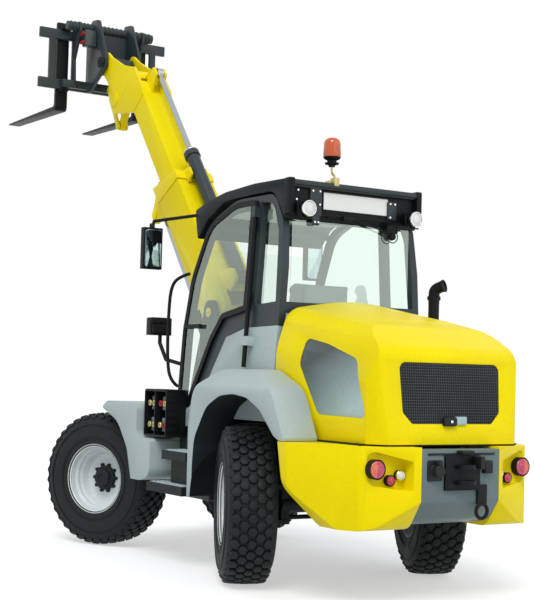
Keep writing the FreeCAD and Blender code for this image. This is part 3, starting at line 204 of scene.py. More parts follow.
yellow_enamel = coated("yellow_enamel", "#f6e300", "#efd800", 0.38, 0.0, 3.0, "#ffe98a")
slate_enamel = coated("slate_enamel", "#2c373b", "#263034", 0.42, 0.08, 3.0)
roof_enamel = coated("roof_enamel", "#152124", "#101a1d", 0.42, 0.0, 3.0, level=0.15)
cab_side_enamel = coated("cab_side_enamel", "#b0c0bf", "#a6b6b5", 0.42, 0.05, 3.0)
grey_moulded_panel = coated("grey_moulded_panel", "#b4c2c2", "#a9b8b8", 0.5, 0.05, 1.2)
side_grille_panel = coated("side_grille_panel", "#768788", "#6b7c7d", 0.32, 0.2, 1.2)
pale_hitch_enamel = coated("pale_hitch_enamel", "#647677", "#5a6b6d", 0.42, 0.08, 3.0)
dark_chassis_paint = coated("dark_chassis_paint", "#1d2427", "#171d20", 0.55, 0.0, 3.0,
                            level=0.2)
black_powder_coat = coated("black_powder_coat", "#0f1214", "#0a0c0e", 0.48, 0.0, 1.5,
                           level=0.18)
silver_rim_lacquer = coated("silver_rim_lacquer", "#dde4e4", "#ccd4d4", 0.38, 0.15, 2.0)
white_plate_enamel = coated("white_plate_enamel", "#eceeef", "#e3e6e8", 0.4, 0.1, 2.0)
seat_shell_plastic = coated("seat_shell_plastic", "#7d918f", "#728684", 0.5, 0.0, 1.0)
# These pieces keep their CAD shape. The rest get their paint with their own shape, below.
dress(slate_enamel, "cab_frame", "telescope_barrel")
dress(dark_chassis_paint, "main_frame", "front_axle", "rear_axle", "driveline", "engine_block",
      "steps", "lift_barrel", "front_tie_rod", "rear_tie_rod", "front_left_knuckle",
      "front_right_knuckle", "rear_left_knuckle", "rear_right_knuckle")
dress(black_powder_coat, "exhaust_pipe", "door_frame", "hood_grille", "steering_column")
dress(white_plate_enamel, "number_plate")


# Painted reflection on the hood's side panels: their colour is lifted most at the lower rear
# corner and darkened upward and forward, standing for the bright room mirrored in them.
low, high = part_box("hood_side_panels")
tree = side_grille_panel.node_tree
shader = tree.nodes["Principled BSDF"]
paint = shader.inputs["Base Color"].links[0].from_socket
axes = add(tree, "ShaderNodeSeparateXYZ",
           links={0: add(tree, "ShaderNodeTexCoord").outputs["Object"]})
down = add(tree, "ShaderNodeMapRange", {1: high.z, 2: low.z, 3: 0.0, 4: 0.6},
           {0: axes.outputs["Z"]})
back = add(tree, "ShaderNodeMapRange", {1: high.x, 2: low.x, 3: 0.0, 4: 0.4},
           {0: axes.outputs["X"]})
corner = add(tree, "ShaderNodeMath", links={0: down, 1: back}, operation="ADD")
reach = add(tree, "ShaderNodeMapRange", {1: 0.25, 2: 0.85}, {0: corner})
# Painted reflection: the paint is darkened to 0.3 at the top front and lifted 2.5 times at the
# lower rear.
film = add(tree, "ShaderNodeMix", {6: (0.3, 0.3, 0.3, 1), 7: (2.5, 2.5, 2.5, 1)}, {0: reach},
           data_type="RGBA")
reflection_painted = add(tree, "ShaderNodeMix", {0: 1.0}, {6: paint, 7: film}, data_type="RGBA",
             blend_type="MULTIPLY")
wire(tree, shader, links={"Base Color": reflection_painted})


# Chromed rods: hard chrome plated on ground steel bar and polished bright. The reflection
# in it is a little uneven from fine turning marks.
def metal(name, colour, low, high, marks_per_m):
    """A bare or plated metal whose roughness goes from low to high between fine marks."""
    material, tree, shader, place = blank(name)
    marks = add(tree, "ShaderNodeTexNoise", {"Scale": marks_per_m, "Detail": 4.0},
                {"Vector": place})
    sheen = add(tree, "ShaderNodeMapRange", {1: 0.3, 2: 0.7, 3: low, 4: high}, {0: marks})
    wire(tree, shader, {"Base Color": linear(colour), "Metallic": 1.0}, {"Roughness": sheen})
    return material


bright_chrome = metal("bright_hard_chrome", "#aab0b4", 0.08, 0.2, 260.0)
dress(bright_chrome, "lift_rod", "telescope_rod")


# Window glass: toughened sheet with a green body tint, glued into the cab's frame. It is
# see-through, with a clear mirror at a glance.
green_glass = bpy.data.materials.new("green_tinted_glass")
green_glass.use_nodes = True
tree = green_glass.node_tree
tree.nodes.clear()
place = add(tree, "ShaderNodeTexCoord").outputs["Object"]
film = add(tree, "ShaderNodeTexNoise", {"Scale": 2.2, "Detail": 3.0}, {"Vector": place})
body = add(tree, "ShaderNodeMix", {6: linear("#f4faf6"), 7: linear("#f7fbf9")}, {0: film},
           data_type="RGBA")
clear = add(tree, "ShaderNodeBsdfTransparent", links={"Color": body})
mirror = add(tree, "ShaderNodeBsdfGlossy", {"Color": linear("#eaf6ec"), "Roughness": 0.03})
# Its outer face mirrors the bright room, the more so the flatter the look along it. That
# face is the one whose normal points away from the middle of the cab.
MIRROR_STRAIGHT, MIRROR_GAIN, MIRROR_POWER = 0.23, 0.5, 4.0
skim = add(tree, "ShaderNodeLayerWeight", {"Blend": 0.5}).outputs["Facing"]
steep = add(tree, "ShaderNodeMath", {1: MIRROR_POWER}, {0: skim}, operation="POWER")
share = add(tree, "ShaderNodeMath", {1: MIRROR_GAIN, 2: MIRROR_STRAIGHT}, {0: steep},
            operation="MULTIPLY_ADD")
low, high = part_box("cab_glass")
from_middle = add(tree, "ShaderNodeVectorMath", {1: (low + high) / 2}, {0: place},
                  operation="SUBTRACT")
surface = add(tree, "ShaderNodeNewGeometry")
away = add(tree, "ShaderNodeVectorMath", operation="DOT_PRODUCT",
           links={0: from_middle, 1: surface.outputs["True Normal"]})
outside = add(tree, "ShaderNodeMath", {1: 0.0}, {0: away.outputs["Value"]},
              operation="GREATER_THAN")
facing = add(tree, "ShaderNodeMath", {0: 1.0}, {1: surface.outputs["Backfacing"]},
             operation="SUBTRACT")
met = add(tree, "ShaderNodeMath", links={0: outside, 1: facing}, operation="MULTIPLY")
part = add(tree, "ShaderNodeMath", links={0: share, 1: met}, operation="MULTIPLY")
pane = add(tree, "ShaderNodeMixShader", links={0: part, 1: clear, 2: mirror})
add(tree, "ShaderNodeOutputMaterial", links={"Surface": pane})
dress(green_glass, "cab_glass", "door_glass")


# Tyres: all-terrain radials of black rubber, moulded with staggered six-sided lugs and a
# row of shoulder lugs on each side. They are turned, and the lugs set round them.
SEAM = 0.00001


def turned(outline, steps):
    """A closed or open outline of (along, radius) points, spun round the Y axis."""
    bpy.ops.mesh.primitive_plane_add(size=0.01)
    piece = bpy.context.object
    bpy.ops.object.mode_set(mode="EDIT")
    bpy.ops.mesh.select_mode(type="VERT")
    bpy.ops.mesh.select_all(action="SELECT")
    bpy.ops.mesh.merge(type="CENTER")
    bpy.ops.transform.translate(value=(0, outline[0][0], outline[0][1]))
    for near, far in zip(outline, outline[1:]):
        bpy.ops.mesh.extrude_region_move(
            TRANSFORM_OT_translate={"value": (0, far[0] - near[0], far[1] - near[1])})
    bpy.ops.mesh.select_all(action="SELECT")
    bpy.ops.mesh.spin(steps=steps, angle=math.tau, center=(0, 0, 0), axis=(0, 1, 0))
    bpy.ops.mesh.select_all(action="SELECT")
    bpy.ops.mesh.remove_doubles(threshold=SEAM)
    bpy.ops.mesh.normals_make_consistent(inside=False)
    bpy.ops.object.mode_set(mode="OBJECT")
    return piece


def alone(piece):
    """Selects one piece only and makes it the active one."""
    bpy.ops.object.select_all(action="DESELECT")
    piece.select_set(True)
    bpy.context.view_layer.objects.active = piece


def settle(piece, material, smooth_deg=35):
    """Puts a piece's place into its mesh, gives it its material and smooths it."""
    alone(piece)
    bpy.ops.object.transform_apply(location=True, rotation=True, scale=True)
    bpy.ops.object.shade_smooth_by_angle(angle=math.radians(smooth_deg))
    piece.data.materials.clear()
    piece.data.materials.append(material)
    return piece


def joined(*parts):
    """The parts made one object, named as the first of them."""
    bpy.ops.object.select_all(action="DESELECT")
    for part in parts:
        part.select_set(True)
    bpy.context.view_layer.objects.active = parts[0]
    bpy.ops.object.join()
    return parts[0]


def bevelled(piece, width, segments):
    """Rounds every edge of a piece."""
    bpy.ops.object.mode_set(mode="EDIT")
    bpy.ops.mesh.select_all(action="SELECT")
    bpy.ops.mesh.bevel(offset=width, segments=segments, affect="EDGES")
    bpy.ops.object.mode_set(mode="OBJECT")
    return piece


def round_the_axle(piece, count, start=0.0):
    """Repeats a piece round the Y axis, the first one turned by start."""
    piece.rotation_euler = (0, start, 0)
    settle(piece, black_rubber)
    bpy.ops.object.empty_add(location=(0, 0, 0), rotation=(0, math.tau / count, 0))
    pivot = bpy.context.object
    array = piece.modifiers.new("round", "ARRAY")
    array.count = count
    array.use_relative_offset = False
    array.use_object_offset = True
    array.offset_object = pivot
    bpy.context.view_layer.objects.active = piece
    bpy.ops.object.modifier_apply(modifier="round")
    bpy.data.objects.remove(pivot)
    return piece


black_rubber, tree, shader, place = blank("moulded_black_rubber")
dust = add(tree, "ShaderNodeTexNoise", {"Scale": 9.0, "Detail": 7.0, "Roughness": 0.65},
           {"Vector": place})
# The skin of moulded rubber has a grain of about 1 mm, drawn at 2 mm so that it shows.
grain = add(tree, "ShaderNodeTexNoise", {"Scale": 500.0, "Detail": 2.0}, {"Vector": place})
tone = add(tree, "ShaderNodeValToRGB", links={"Fac": dust})
for stop, position, colour in zip(tone.color_ramp.elements, (0.35, 0.75), ("#0f1315", "#272c2f")):
    stop.position = position
    stop.color = linear(colour)
rough = add(tree, "ShaderNodeMapRange", {1: 0.3, 2: 0.7, 3: 0.5, 4: 0.75}, {0: dust})
relief = add(tree, "ShaderNodeBump", {"Strength": 0.35, "Distance": 0.0006}, {"Height": grain})
wire(tree, shader, {"Specular IOR Level": 0.25},
     {"Base Color": tone, "Roughness": rough, "Normal": relief})

low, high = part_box("rear_left_tyre")
OUTER = (high.z - low.z) / 2
TREAD_DEPTH = 0.02
LUGS_ROUND = 38
LUG_RADIUS, LUG_HEIGHT, LUG_BEVEL = 0.0315, 0.032, 0.0065
LUG_SUNK = 0.0165
SHOULDER_Y, SHOULDER_DEG = 0.1195, 42
half = [(0.05, OUTER - TREAD_DEPTH), (0.11, OUTER - 0.026), (0.134, 0.453), (0.15, 0.425),
        (0.157, 0.385), (0.158, 0.33), (0.154, 0.285), (0.147, 0.25), (0.132, 0.236)]
casing = turned([(-along, radius) for along, radius in reversed(half)] + half, 96)
lugs = []
for along, drop, tilt, shift in (
        (0.0, 0.0, 0, 0), (0.05, 0.0015, 2, 0.5), (-0.05, 0.0015, -2, 0.5),
        (0.1, 0.005, 7, 0), (-0.1, 0.005, -7, 0),
        (SHOULDER_Y, 0.026, SHOULDER_DEG, 0.5), (-SHOULDER_Y, 0.026, -SHOULDER_DEG, 0.5)):
    bpy.ops.mesh.primitive_cylinder_add(vertices=6, radius=LUG_RADIUS, depth=LUG_HEIGHT,
                                        location=(0, 0, 0), rotation=(0, 0, math.pi / 6))
    lug = bevelled(bpy.context.object, LUG_BEVEL, 2)
    if abs(tilt) == SHOULDER_DEG:
        lug.scale = (0.95, 0.72, 1.3)
    lug.rotation_euler = (math.radians(-tilt), 0, 0)
    lug.location = (0, along, OUTER - drop - LUG_SUNK)
    settle(lug, black_rubber)
    lugs.append(round_the_axle(lug, LUGS_ROUND, shift * math.tau / LUGS_ROUND))
ribs = [turned([(side * 0.1535, radius - 0.003), (side * 0.1595, radius - 0.002),
                (side * 0.1595, radius + 0.002), (side * 0.1535, radius + 0.003)], 96)
        for side in (-1, 1) for radius in (0.3, 0.312, 0.405)]
tyre = joined(casing, *lugs, *ribs)


# Rims: pressed steel dishes, sprayed silver, with a rolled flange and stepped wells. Ten
# nuts clamp each one to a dark cast hub.
rim = turned([(0.134, 0.236), (0.146, 0.25), (0.15, 0.258), (0.144, 0.263), (0.137, 0.258),
              (0.132, 0.25), (0.122, 0.233), (0.1, 0.229), (0.092, 0.222), (0.082, 0.214),
              (0.06, 0.211), (0.05, 0.203), (0.036, 0.194), (0.012, 0.19), (-0.004, 0.178),
              (-0.01, 0.16), (-0.006, 0.13), (0.004, 0.112), (0.006, 0.06), (-0.01, 0.06),
              (-0.01, 0.112), (-0.024, 0.13), (-0.026, 0.17), (-0.02, 0.192), (-0.012, 0.2),
              (-0.05, 0.205), (-0.09, 0.21), (-0.12, 0.228), (-0.134, 0.25), (-0.144, 0.258),
              (-0.148, 0.25), (-0.134, 0.236)], 96)
hub = turned([(0.002, 0.0), (0.002, 0.092), (0.03, 0.09), (0.036, 0.084), (0.038, 0.07),
              (0.062, 0.066), (0.068, 0.06), (0.07, 0.03), (0.064, 0.026), (0.064, 0.0)], 48)
nuts = []
NUTS = 10
NUT_RADIUS, NUT_LENGTH, NUT_CIRCLE = 0.0145, 0.026, 0.1
for index in range(NUTS):
    angle = index * math.tau / NUTS
    bpy.ops.mesh.primitive_cylinder_add(
        vertices=6, radius=NUT_RADIUS, depth=NUT_LENGTH, rotation=(math.pi / 2, 0, 0),
        location=(NUT_CIRCLE * math.cos(angle), 0.016, NUT_CIRCLE * math.sin(angle)))
    nut = bevelled(bpy.context.object, 0.002, 1)
    nuts.append(settle(nut, dark_chassis_paint))
settle(hub, dark_chassis_paint)
hub = joined(hub, *nuts)
settle(tyre, black_rubber, 30)
settle(rim, silver_rim_lacquer, 30)
settle(hub, dark_chassis_paint, 30)


def copy_of(name, source):
    """A copy of a piece with a mesh of its own."""
    piece = bpy.data.objects.new(name, source.data.copy())
    bpy.context.collection.objects.link(piece)
    return piece


models = {"tyre": (tyre, "tyre_rubber"), "rim": (rim, "silver_rim"), "hub": (hub, "dark_steel")}
for end in ("front", "rear"):
    for side in ("left", "right"):
        corner = f"{end}_{side}"
        low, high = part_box(f"{corner}_tyre")
        axle = Vector(joints[f"{corner}_wheel_spin"]["axis"])
        outward = axle if (axle.y > 0) == (side == "left") else -axle
        swing = Matrix.Rotation(math.atan2(outward.y, outward.x) - math.pi / 2, 4, "Z")
        for part, (model, finish) in models.items():
            piece = copy_of(f"{corner}_{part}_detail", model)
            piece.data.transform(Matrix.Translation((low + high) / 2) @ swing)
            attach(piece, f"{corner}_wheel")
            if part != "hub":
                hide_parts(f"{corner}_{part}")
for model, finish in models.values():
    bpy.data.objects.remove(model)


# Panels and plates: mouldings, castings and burnt steel plate have a small round on every
# edge. Each piece is the solid of its own node, with its edges bevelled and smoothed.
MERGE = 0.00002
FLAT_DEG, EDGE_DEG = 1.0, 24


def softened(node, body, material, width):
    """A copy of a CAD node with rounded edges, which stands for it."""
    piece = copy_of(f"{node}_rounded", nodes[node])
    alone(piece)
    bpy.ops.object.mode_set(mode="EDIT")
    bpy.ops.mesh.select_all(action="SELECT")
    bpy.ops.mesh.remove_doubles(threshold=MERGE)
    bpy.ops.mesh.dissolve_limited(angle_limit=math.radians(FLAT_DEG))
    bpy.ops.object.mode_set(mode="OBJECT")
    rounding = piece.modifiers.new("rounding", "BEVEL")
    rounding.width = width
    rounding.segments = 2
    rounding.limit_method = "ANGLE"
    rounding.angle_limit = math.radians(EDGE_DEG)
    bpy.ops.object.modifier_apply(modifier="rounding")
    settle(piece, material)
    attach(piece, body)
    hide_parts(node)


for node, body, material, finish, width in (
        ("hood", "hood", yellow_enamel, "yellow_paint", 0.016),
        ("hood_side_panels", "hood", side_grille_panel, "grey_moulding", 0.008),
        ("rear_bumper", "chassis", yellow_enamel, "yellow_paint", 0.014),
        ("outer_boom", "boom", yellow_enamel, "yellow_paint", 0.005),
        ("inner_boom", "inner_boom", yellow_enamel, "yellow_paint", 0.005),
        ("tilt_rocker", "tilt_rocker", yellow_enamel, "yellow_paint", 0.003),
        ("tilt_link", "tilt_link", yellow_enamel, "yellow_paint", 0.003),
        ("rear_fenders", "chassis", grey_moulded_panel, "grey_moulding", 0.012),
        ("front_fenders", "chassis", grey_moulded_panel, "grey_moulding", 0.012),
        ("cab_body", "chassis", cab_side_enamel, "grey_moulding", 0.006),
        ("cab_roof", "chassis", roof_enamel, "slate_paint", 0.008),
        ("seat_base", "chassis", seat_shell_plastic, "black_plastic", 0.03),
        ("side_tanks", "chassis", slate_enamel, "slate_paint", 0.01),
        ("hitch_panel", "chassis", pale_hitch_enamel, "dark_steel", 0.006),
        ("tow_hitch", "chassis", black_powder_coat, "black_steel", 0.003),
        ("lamps", "chassis", black_powder_coat, "black_plastic", 0.006),
        ("mirrors", "chassis", black_powder_coat, "black_plastic", 0.012),
        ("quick_coupler", "carriage", slate_enamel, "slate_paint", 0.004),
        ("fork_carriage", "carriage", slate_enamel, "slate_paint", 0.004),
        ("forks", "carriage", black_powder_coat, "black_steel", 0.003)):
    softened(node, body, material, width)


# Painted shade inside the wheel arches: a matt, stippled near-black on the faces of the
# fenders that look toward the axle, standing for the shade under them.
TOWARD_AXLE = 0.6
arch_shade = coated("stippled_arch_shade", "#262f32", "#1f2729", 0.8, 0.0, 4.0, level=0.15)
for end in ("rear", "front"):
    low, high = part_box(f"{end}_left_tyre")
    axle = (low + high) / 2
    fender = bpy.data.objects[f"{end}_fenders_rounded"].data
    fender.materials.append(arch_shade)
    for face in fender.polygons:
        inward = Vector((axle.x - face.center.x, 0, axle.z - face.center.z)).normalized()
        if face.normal.dot(inward) > TOWARD_AXLE:
            face.material_index = 1


# Work lamps on the roof's rear edge: black housings with a bright bezel and a clear lens
# that is ribbed inside. They are turned parts, each clipped into its housing.
def aimed(piece, place, direction=(-1, 0, 0)):
    """Turns a lathe-made piece from the Y axis to a direction, at a place on the deck."""
    facing = Vector((0, 1, 0)).rotation_difference(Vector(direction))
    piece.rotation_euler = facing.to_euler()
    piece.location = deck + Vector(place)
    return piece


def tube(route, radius):
    """A bent bar or pipe along points of the deck frame, its bends rounded."""
    bpy.ops.object.select_all(action="DESELECT")
    bpy.ops.curve.primitive_nurbs_path_add()
    path = bpy.context.object
    line = path.data.splines[0]
    if len(route) > 5:
        line.points.add(len(route) - 5)
    for index, point in enumerate(line.points):
        place = deck + Vector(route[min(index, len(route) - 1)])
        point.co = (*place, 1.0)
    line.order_u = 3
    line.use_endpoint_u = True
    line.resolution_u = 5
    path.location = (0, 0, 0)
    path.data.bevel_depth = radius
    path.data.bevel_resolution = 3
    path.data.use_fill_caps = True
    bpy.ops.object.convert(target="MESH")
    piece = bpy.context.object
    bpy.ops.object.mode_set(mode="EDIT")
    bpy.ops.mesh.select_all(action="SELECT")
    bpy.ops.mesh.remove_doubles(threshold=SEAM)
    bpy.ops.mesh.normals_make_consistent(inside=False)
    bpy.ops.object.mode_set(mode="OBJECT")
    return piece


def lens(name, colour, deep, roughness, rib_m, outer=None):
    """A moulded lamp lens: clear colour over small ribs, seen as light and deep cells. An
    outer part is given by its distance from the machine's middle plane and its colour."""
    material, tree, shader, place = blank(name)
    cells = add(tree, "ShaderNodeTexVoronoi", {"Scale": 1 / rib_m, "Randomness": 0.1},
                {"Vector": place})
    share = add(tree, "ShaderNodeMapRange", {1: 0.15, 2: 0.75, 3: 0.0, 4: 1.0}, {0: cells})
    tint = add(tree, "ShaderNodeMix", {6: linear(colour), 7: linear(deep)}, {0: share},
               data_type="RGBA")
    if outer:
        edge, outer_colour = outer
        across = add(tree, "ShaderNodeSeparateXYZ", links={0: place}).outputs["Y"]
        out = add(tree, "ShaderNodeMath", links={0: across}, operation="ABSOLUTE")
        step = add(tree, "ShaderNodeMapRange", {1: edge - 0.004, 2: edge + 0.004, 3: 0.0, 4: 0.8},
                   {0: out})
        tint = add(tree, "ShaderNodeMix", {7: linear(outer_colour)}, {0: step, 6: tint},
                   data_type="RGBA")
    relief = add(tree, "ShaderNodeBump", {"Strength": 0.5, "Distance": 0.001}, {"Height": cells})
    wire(tree, shader, {"Roughness": roughness, "Coat Weight": 0.6},
         {"Base Color": tint, "Normal": relief})
    return material


def fitted(piece, name, material, body="chassis", smooth_deg=35):
    """Finishes a new piece: its name, material, body and smooth shading."""
    settle(piece, material, smooth_deg)
    piece.name = piece.data.name = name
    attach(piece, body)
    return piece


# The deck is the level plane 5 mm under the cab's body. Places are counted from the point in
# it over the middle of the rear axle.
UNDER_CAB = 0.005
deck = Vector((rear_x, 0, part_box("cab_body")[0].z - UNDER_CAB))
bright_bezel = metal("polished_aluminium_bezel", "#d9dcde", 0.12, 0.22, 300.0)
clear_lens = lens("clear_ribbed_polycarbonate", "#f2f4f4", "#c9d0d2", 0.08, 0.006)
SIDES = (("left", 1), ("right", -1))
WORK_LAMP_Z = 1.362
for side, way in SIDES:
    y = way * 0.43
    bezel = turned([(-0.012, 0.0515), (0.004, 0.0525), (0.009, 0.0505), (0.009, 0.0465),
                    (0.003, 0.0435), (-0.012, 0.0435), (-0.012, 0.0515)], 48)
    fitted(aimed(bezel, (-0.191, y, WORK_LAMP_Z)), f"work_lamp_{side}_bezel", bright_bezel)
    glass = turned([(0.0, 0.044), (0.004, 0.043), (0.008, 0.032), (0.0105, 0.016), (0.011, 0.0)],
                   48)
    fitted(aimed(glass, (-0.19, y, WORK_LAMP_Z)), f"work_lamp_{side}_lens", clear_lens)
    yoke = tube([(-0.11, y + 0.05, 1.405), (-0.16, y + 0.062, 1.395), (-0.16, y + 0.064, 1.33),
                 (-0.16, y + 0.045, 1.305), (-0.16, y - 0.045, 1.305)], 0.005)
    fitted(yoke, f"work_lamp_{side}_yoke", black_powder_coat)


# Tail lamps in the bumper's pockets: a big stop and turn lamp whose outer half is amber, a
# small red fog lamp and a clear reversing lamp. Each lens is moulded in a ring that seats it.
STOP_LAMP_Y, AMBER_FROM = 0.548, 0.556
red_lens = lens("red_ribbed_polycarbonate", "#d22b4e", "#a8163a", 0.1, 0.005)
two_tone_lens = lens("red_and_amber_polycarbonate", "#cf3a6a", "#b01f4d", 0.1, 0.008,
                     (AMBER_FROM, "#e8703a"))
for side, way in SIDES:
    for kind, x, y, z, radius, dome in (
            ("stop", -1.122, STOP_LAMP_Y, -0.21, 0.056, two_tone_lens),
            ("fog", -1.108, 0.442, -0.275, 0.031, red_lens),
            ("reversing", -1.112, 0.374, -0.246, 0.027, clear_lens)):
        ring = turned([(-0.01, radius + 0.001), (0.003, radius + 0.002), (0.006, radius - 0.001),
                       (0.005, radius - 0.005), (-0.01, radius - 0.005), (-0.01, radius + 0.001)],
                      48)
        cover = turned([(0.0, radius - 0.004), (0.006, radius * 0.84), (0.0085, radius * 0.6),
                        (0.0075, radius * 0.56), (0.0105, radius * 0.52), (0.0135, radius * 0.25),
                        (0.0145, 0.0)], 48)
        trim, trim_finish, finish = (
            (bright_bezel, "silver_rim", "tinted_glass") if kind == "reversing"
            else (black_powder_coat, "black_plastic", "amber_lens"))
        fitted(aimed(ring, (x, way * y, z)), f"{kind}_lamp_{side}_ring", trim)
        fitted(aimed(cover, (x, way * y, z)), f"{kind}_lamp_{side}_lens", dome)


# Head lamps on their stalks: black moulded boxes with a clear polycarbonate front. A raised
# lid closes the back of each, and a wider band runs round its top.
SHARP_DEG = 40
NEARLY_ONE = 0.9


def block(low, high, edge, corner=0.0, along=0, way=1):
    """A block between two corners of the deck frame, mirrored to the right side where way
    is -1. The four edges along one axis may have a larger corner radius than the rest."""
    low, high = Vector(low), Vector(high)
    low.y, high.y = sorted((way * low.y, way * high.y))
    bpy.ops.mesh.primitive_cube_add(size=1, location=deck + (low + high) / 2)
    piece = bpy.context.object
    piece.scale = high - low
    bpy.ops.object.transform_apply(location=False, rotation=False, scale=True)
    bpy.ops.object.mode_set(mode="EDIT")
    bpy.ops.mesh.select_mode(type="EDGE")
    if corner:
        bpy.ops.mesh.select_all(action="DESELECT")
        mesh = bmesh.from_edit_mesh(piece.data)
        for side in mesh.edges:
            run = (side.verts[0].co - side.verts[1].co).normalized()
            side.select_set(abs(run[along]) > NEARLY_ONE)
        bmesh.update_edit_mesh(piece.data)
        bpy.ops.mesh.bevel(offset=corner, segments=6, affect="EDGES")
    bpy.ops.mesh.select_all(action="DESELECT")
    bpy.ops.mesh.edges_select_sharp(sharpness=math.radians(SHARP_DEG))
    bpy.ops.mesh.bevel(offset=edge, segments=3, affect="EDGES")
    bpy.ops.object.mode_set(mode="OBJECT")
    return piece


grained_black_plastic = coated("grained_black_plastic", "#16191b", "#0e1112", 0.55, 0.0, 0.9)
for side, way in SIDES:
    front = block((1.5, 0.53, 0.575), (1.511, 0.68, 0.68), 0.003, 0.016, way=way)
    fitted(front, f"head_lamp_{side}_lens", clear_lens)
    lid = block((1.428, 0.53, 0.577), (1.44, 0.68, 0.642), 0.005, 0.012, way=way)
    band = block((1.43, 0.522, 0.648), (1.507, 0.688, 0.694), 0.005, 0.014, way=way)
    fitted(joined(lid, band), f"head_lamp_{side}_lid", grained_black_plastic)


# Mirrors: a silvered glass sheet in a black moulded housing. A moulded clamp holds the
# housing to an arm of bent tube.
mirror_glass = metal("silvered_mirror_glass", "#aebdc2", 0.03, 0.08, 8.0)
for side, way in SIDES:
    sheet = block((1.4045, 0.641, 1.055), (1.412, 0.769, 1.325), 0.0015, 0.02, way=way)
    fitted(sheet, f"mirror_{side}_glass", mirror_glass)
    clamp = turned([(-0.02, 0.0), (-0.02, 0.018), (-0.006, 0.02), (0.006, 0.02), (0.02, 0.018),
                    (0.02, 0.0)], 24)
    fitted(aimed(clamp, (1.435, way * 0.705, 1.352), (0, 0, 1)), f"mirror_{side}_clamp",
           grained_black_plastic)


# Roof's rear edge: a folded slate rail between two black corner brackets, over a black panel where
# the lamps and the plate are screwed on.
# The panel's black is painted shade: it stands for the roof's rear face in shadow under the rail.
rear_shade_panel = block((-0.0845, -0.502, 1.335), (-0.06, 0.502, 1.524), 0.002)
fitted(rear_shade_panel, "roof_rear_shade_panel", black_powder_coat)
rail = block((-0.116, -0.497, 1.519), (-0.07, 0.497, 1.552), 0.006)
groove = block((-0.104, -0.497, 1.508), (-0.07, 0.497, 1.52), 0.002)
fitted(joined(rail, groove), "roof_rail", slate_enamel)
for side, way in SIDES:
    cap = block((-0.122, 0.492, 1.33), (-0.055, 0.534, 1.562), 0.007, 0.012, 1, way)
    fitted(cap, f"roof_corner_{side}", black_powder_coat)
brackets = [block((-0.101, 0.272, 1.33), (-0.086, 0.362, 1.512), 0.002, 0.01),
            block((-0.098, 0.285, 1.27), (-0.088, 0.34, 1.345), 0.002, 0.008),
            block((-0.099, -0.335, 1.355), (-0.086, -0.262, 1.475), 0.002, 0.01)]
fitted(joined(*brackets), "plate_brackets", slate_enamel)


def copied(model, places, direction, material):
    """A turned piece copied to each of these places on the deck, all made one."""
    pieces = []
    for place in places:
        piece = copy_of(model.name, model)
        pieces.append(settle(aimed(piece, place, direction), material))
    bpy.data.objects.remove(model)
    return joined(*pieces)


bolt = turned([(0.0, 0.0085), (0.005, 0.0085), (0.007, 0.007), (0.007, 0.0)], 6)
bolts = [(-0.101, y, z) for y, z in (
    (0.29, 1.49), (0.345, 1.49), (0.29, 1.405), (0.345, 1.405), (0.3, 1.29), (0.325, 1.29),
    (0.46, 1.485), (0.47, 1.425))]
bolts += [(-0.099, y, z) for y, z in ((-0.28, 1.46), (-0.318, 1.46), (-0.28, 1.37))]
fitted(copied(bolt, bolts, (-1, 0, 0), bright_bezel), "plate_bracket_bolts", bright_bezel)


# Headliner: a lining of pale pressed felt under the roof. It is glued to a block of foam, and
# the foam to the inside of the roof.
pale_felt = coated("pale_headliner_felt", "#e6ebe2", "#dde3d9", 0.85, 0.0, 2.0, level=0.1)
lining = block((0.14, -0.45, 1.384), (0.84, 0.45, 1.402), 0.006, 0.06, 2)
foam = block((0.25, -0.3, 1.4), (0.66, 0.3, 1.479), 0.004)
fitted(joined(lining, foam), "headliner", pale_felt)


# Number plate: its enamelled sheet stays blank. A clip frame moulded of black plastic holds
# it along its four edges, and is screwed to the brackets.
BAR = 0.006
low, high = Vector((-0.0905, -0.276, 1.374)), Vector((-0.0795, 0.256, 1.496))
edge_bars = [block((low.x, low.y, z), (high.x, high.y, z + BAR), 0.0015)
             for z in (low.z, high.z - BAR)]
edge_bars += [block((low.x, y, low.z), (high.x, y + BAR, high.z), 0.0015)
              for y in (low.y, high.y - BAR)]
fitted(joined(*edge_bars), "plate_clip_frame", grained_black_plastic)


# Rear wiper: a motor under a black moulded cover, a sprung arm and a blade parked along the
# window's top. A round wire guard stands over the pivot.
motor = block((-0.112, -0.345, 1.262), (-0.064, -0.255, 1.318), 0.008, 0.016)
pivot = aimed(turned([(-0.01, 0.0), (-0.01, 0.026), (0.012, 0.024), (0.018, 0.016), (0.02, 0.0)],
                     32), (-0.09, -0.31, 1.245))
arm = tube([(-0.104, -0.31, 1.246), (-0.106, -0.2, 1.283), (-0.1, -0.05, 1.318),
            (-0.092, 0.03, 1.336)], 0.006)
blade = block((-0.078, -0.2, 1.322), (-0.066, 0.21, 1.336), 0.002)
sleeve = block((-0.112, 0.02, 1.318), (-0.08, 0.1, 1.345), 0.006)
bpy.ops.mesh.primitive_torus_add(major_radius=0.042, minor_radius=0.0035, major_segments=48,
                                 minor_segments=8)
guard = aimed(bpy.context.object, (-0.094, -0.31, 1.245))
guard.rotation_euler = (0, math.pi / 2, 0)
fitted(joined(motor, pivot, arm, blade, sleeve, guard), "rear_wiper", black_powder_coat)


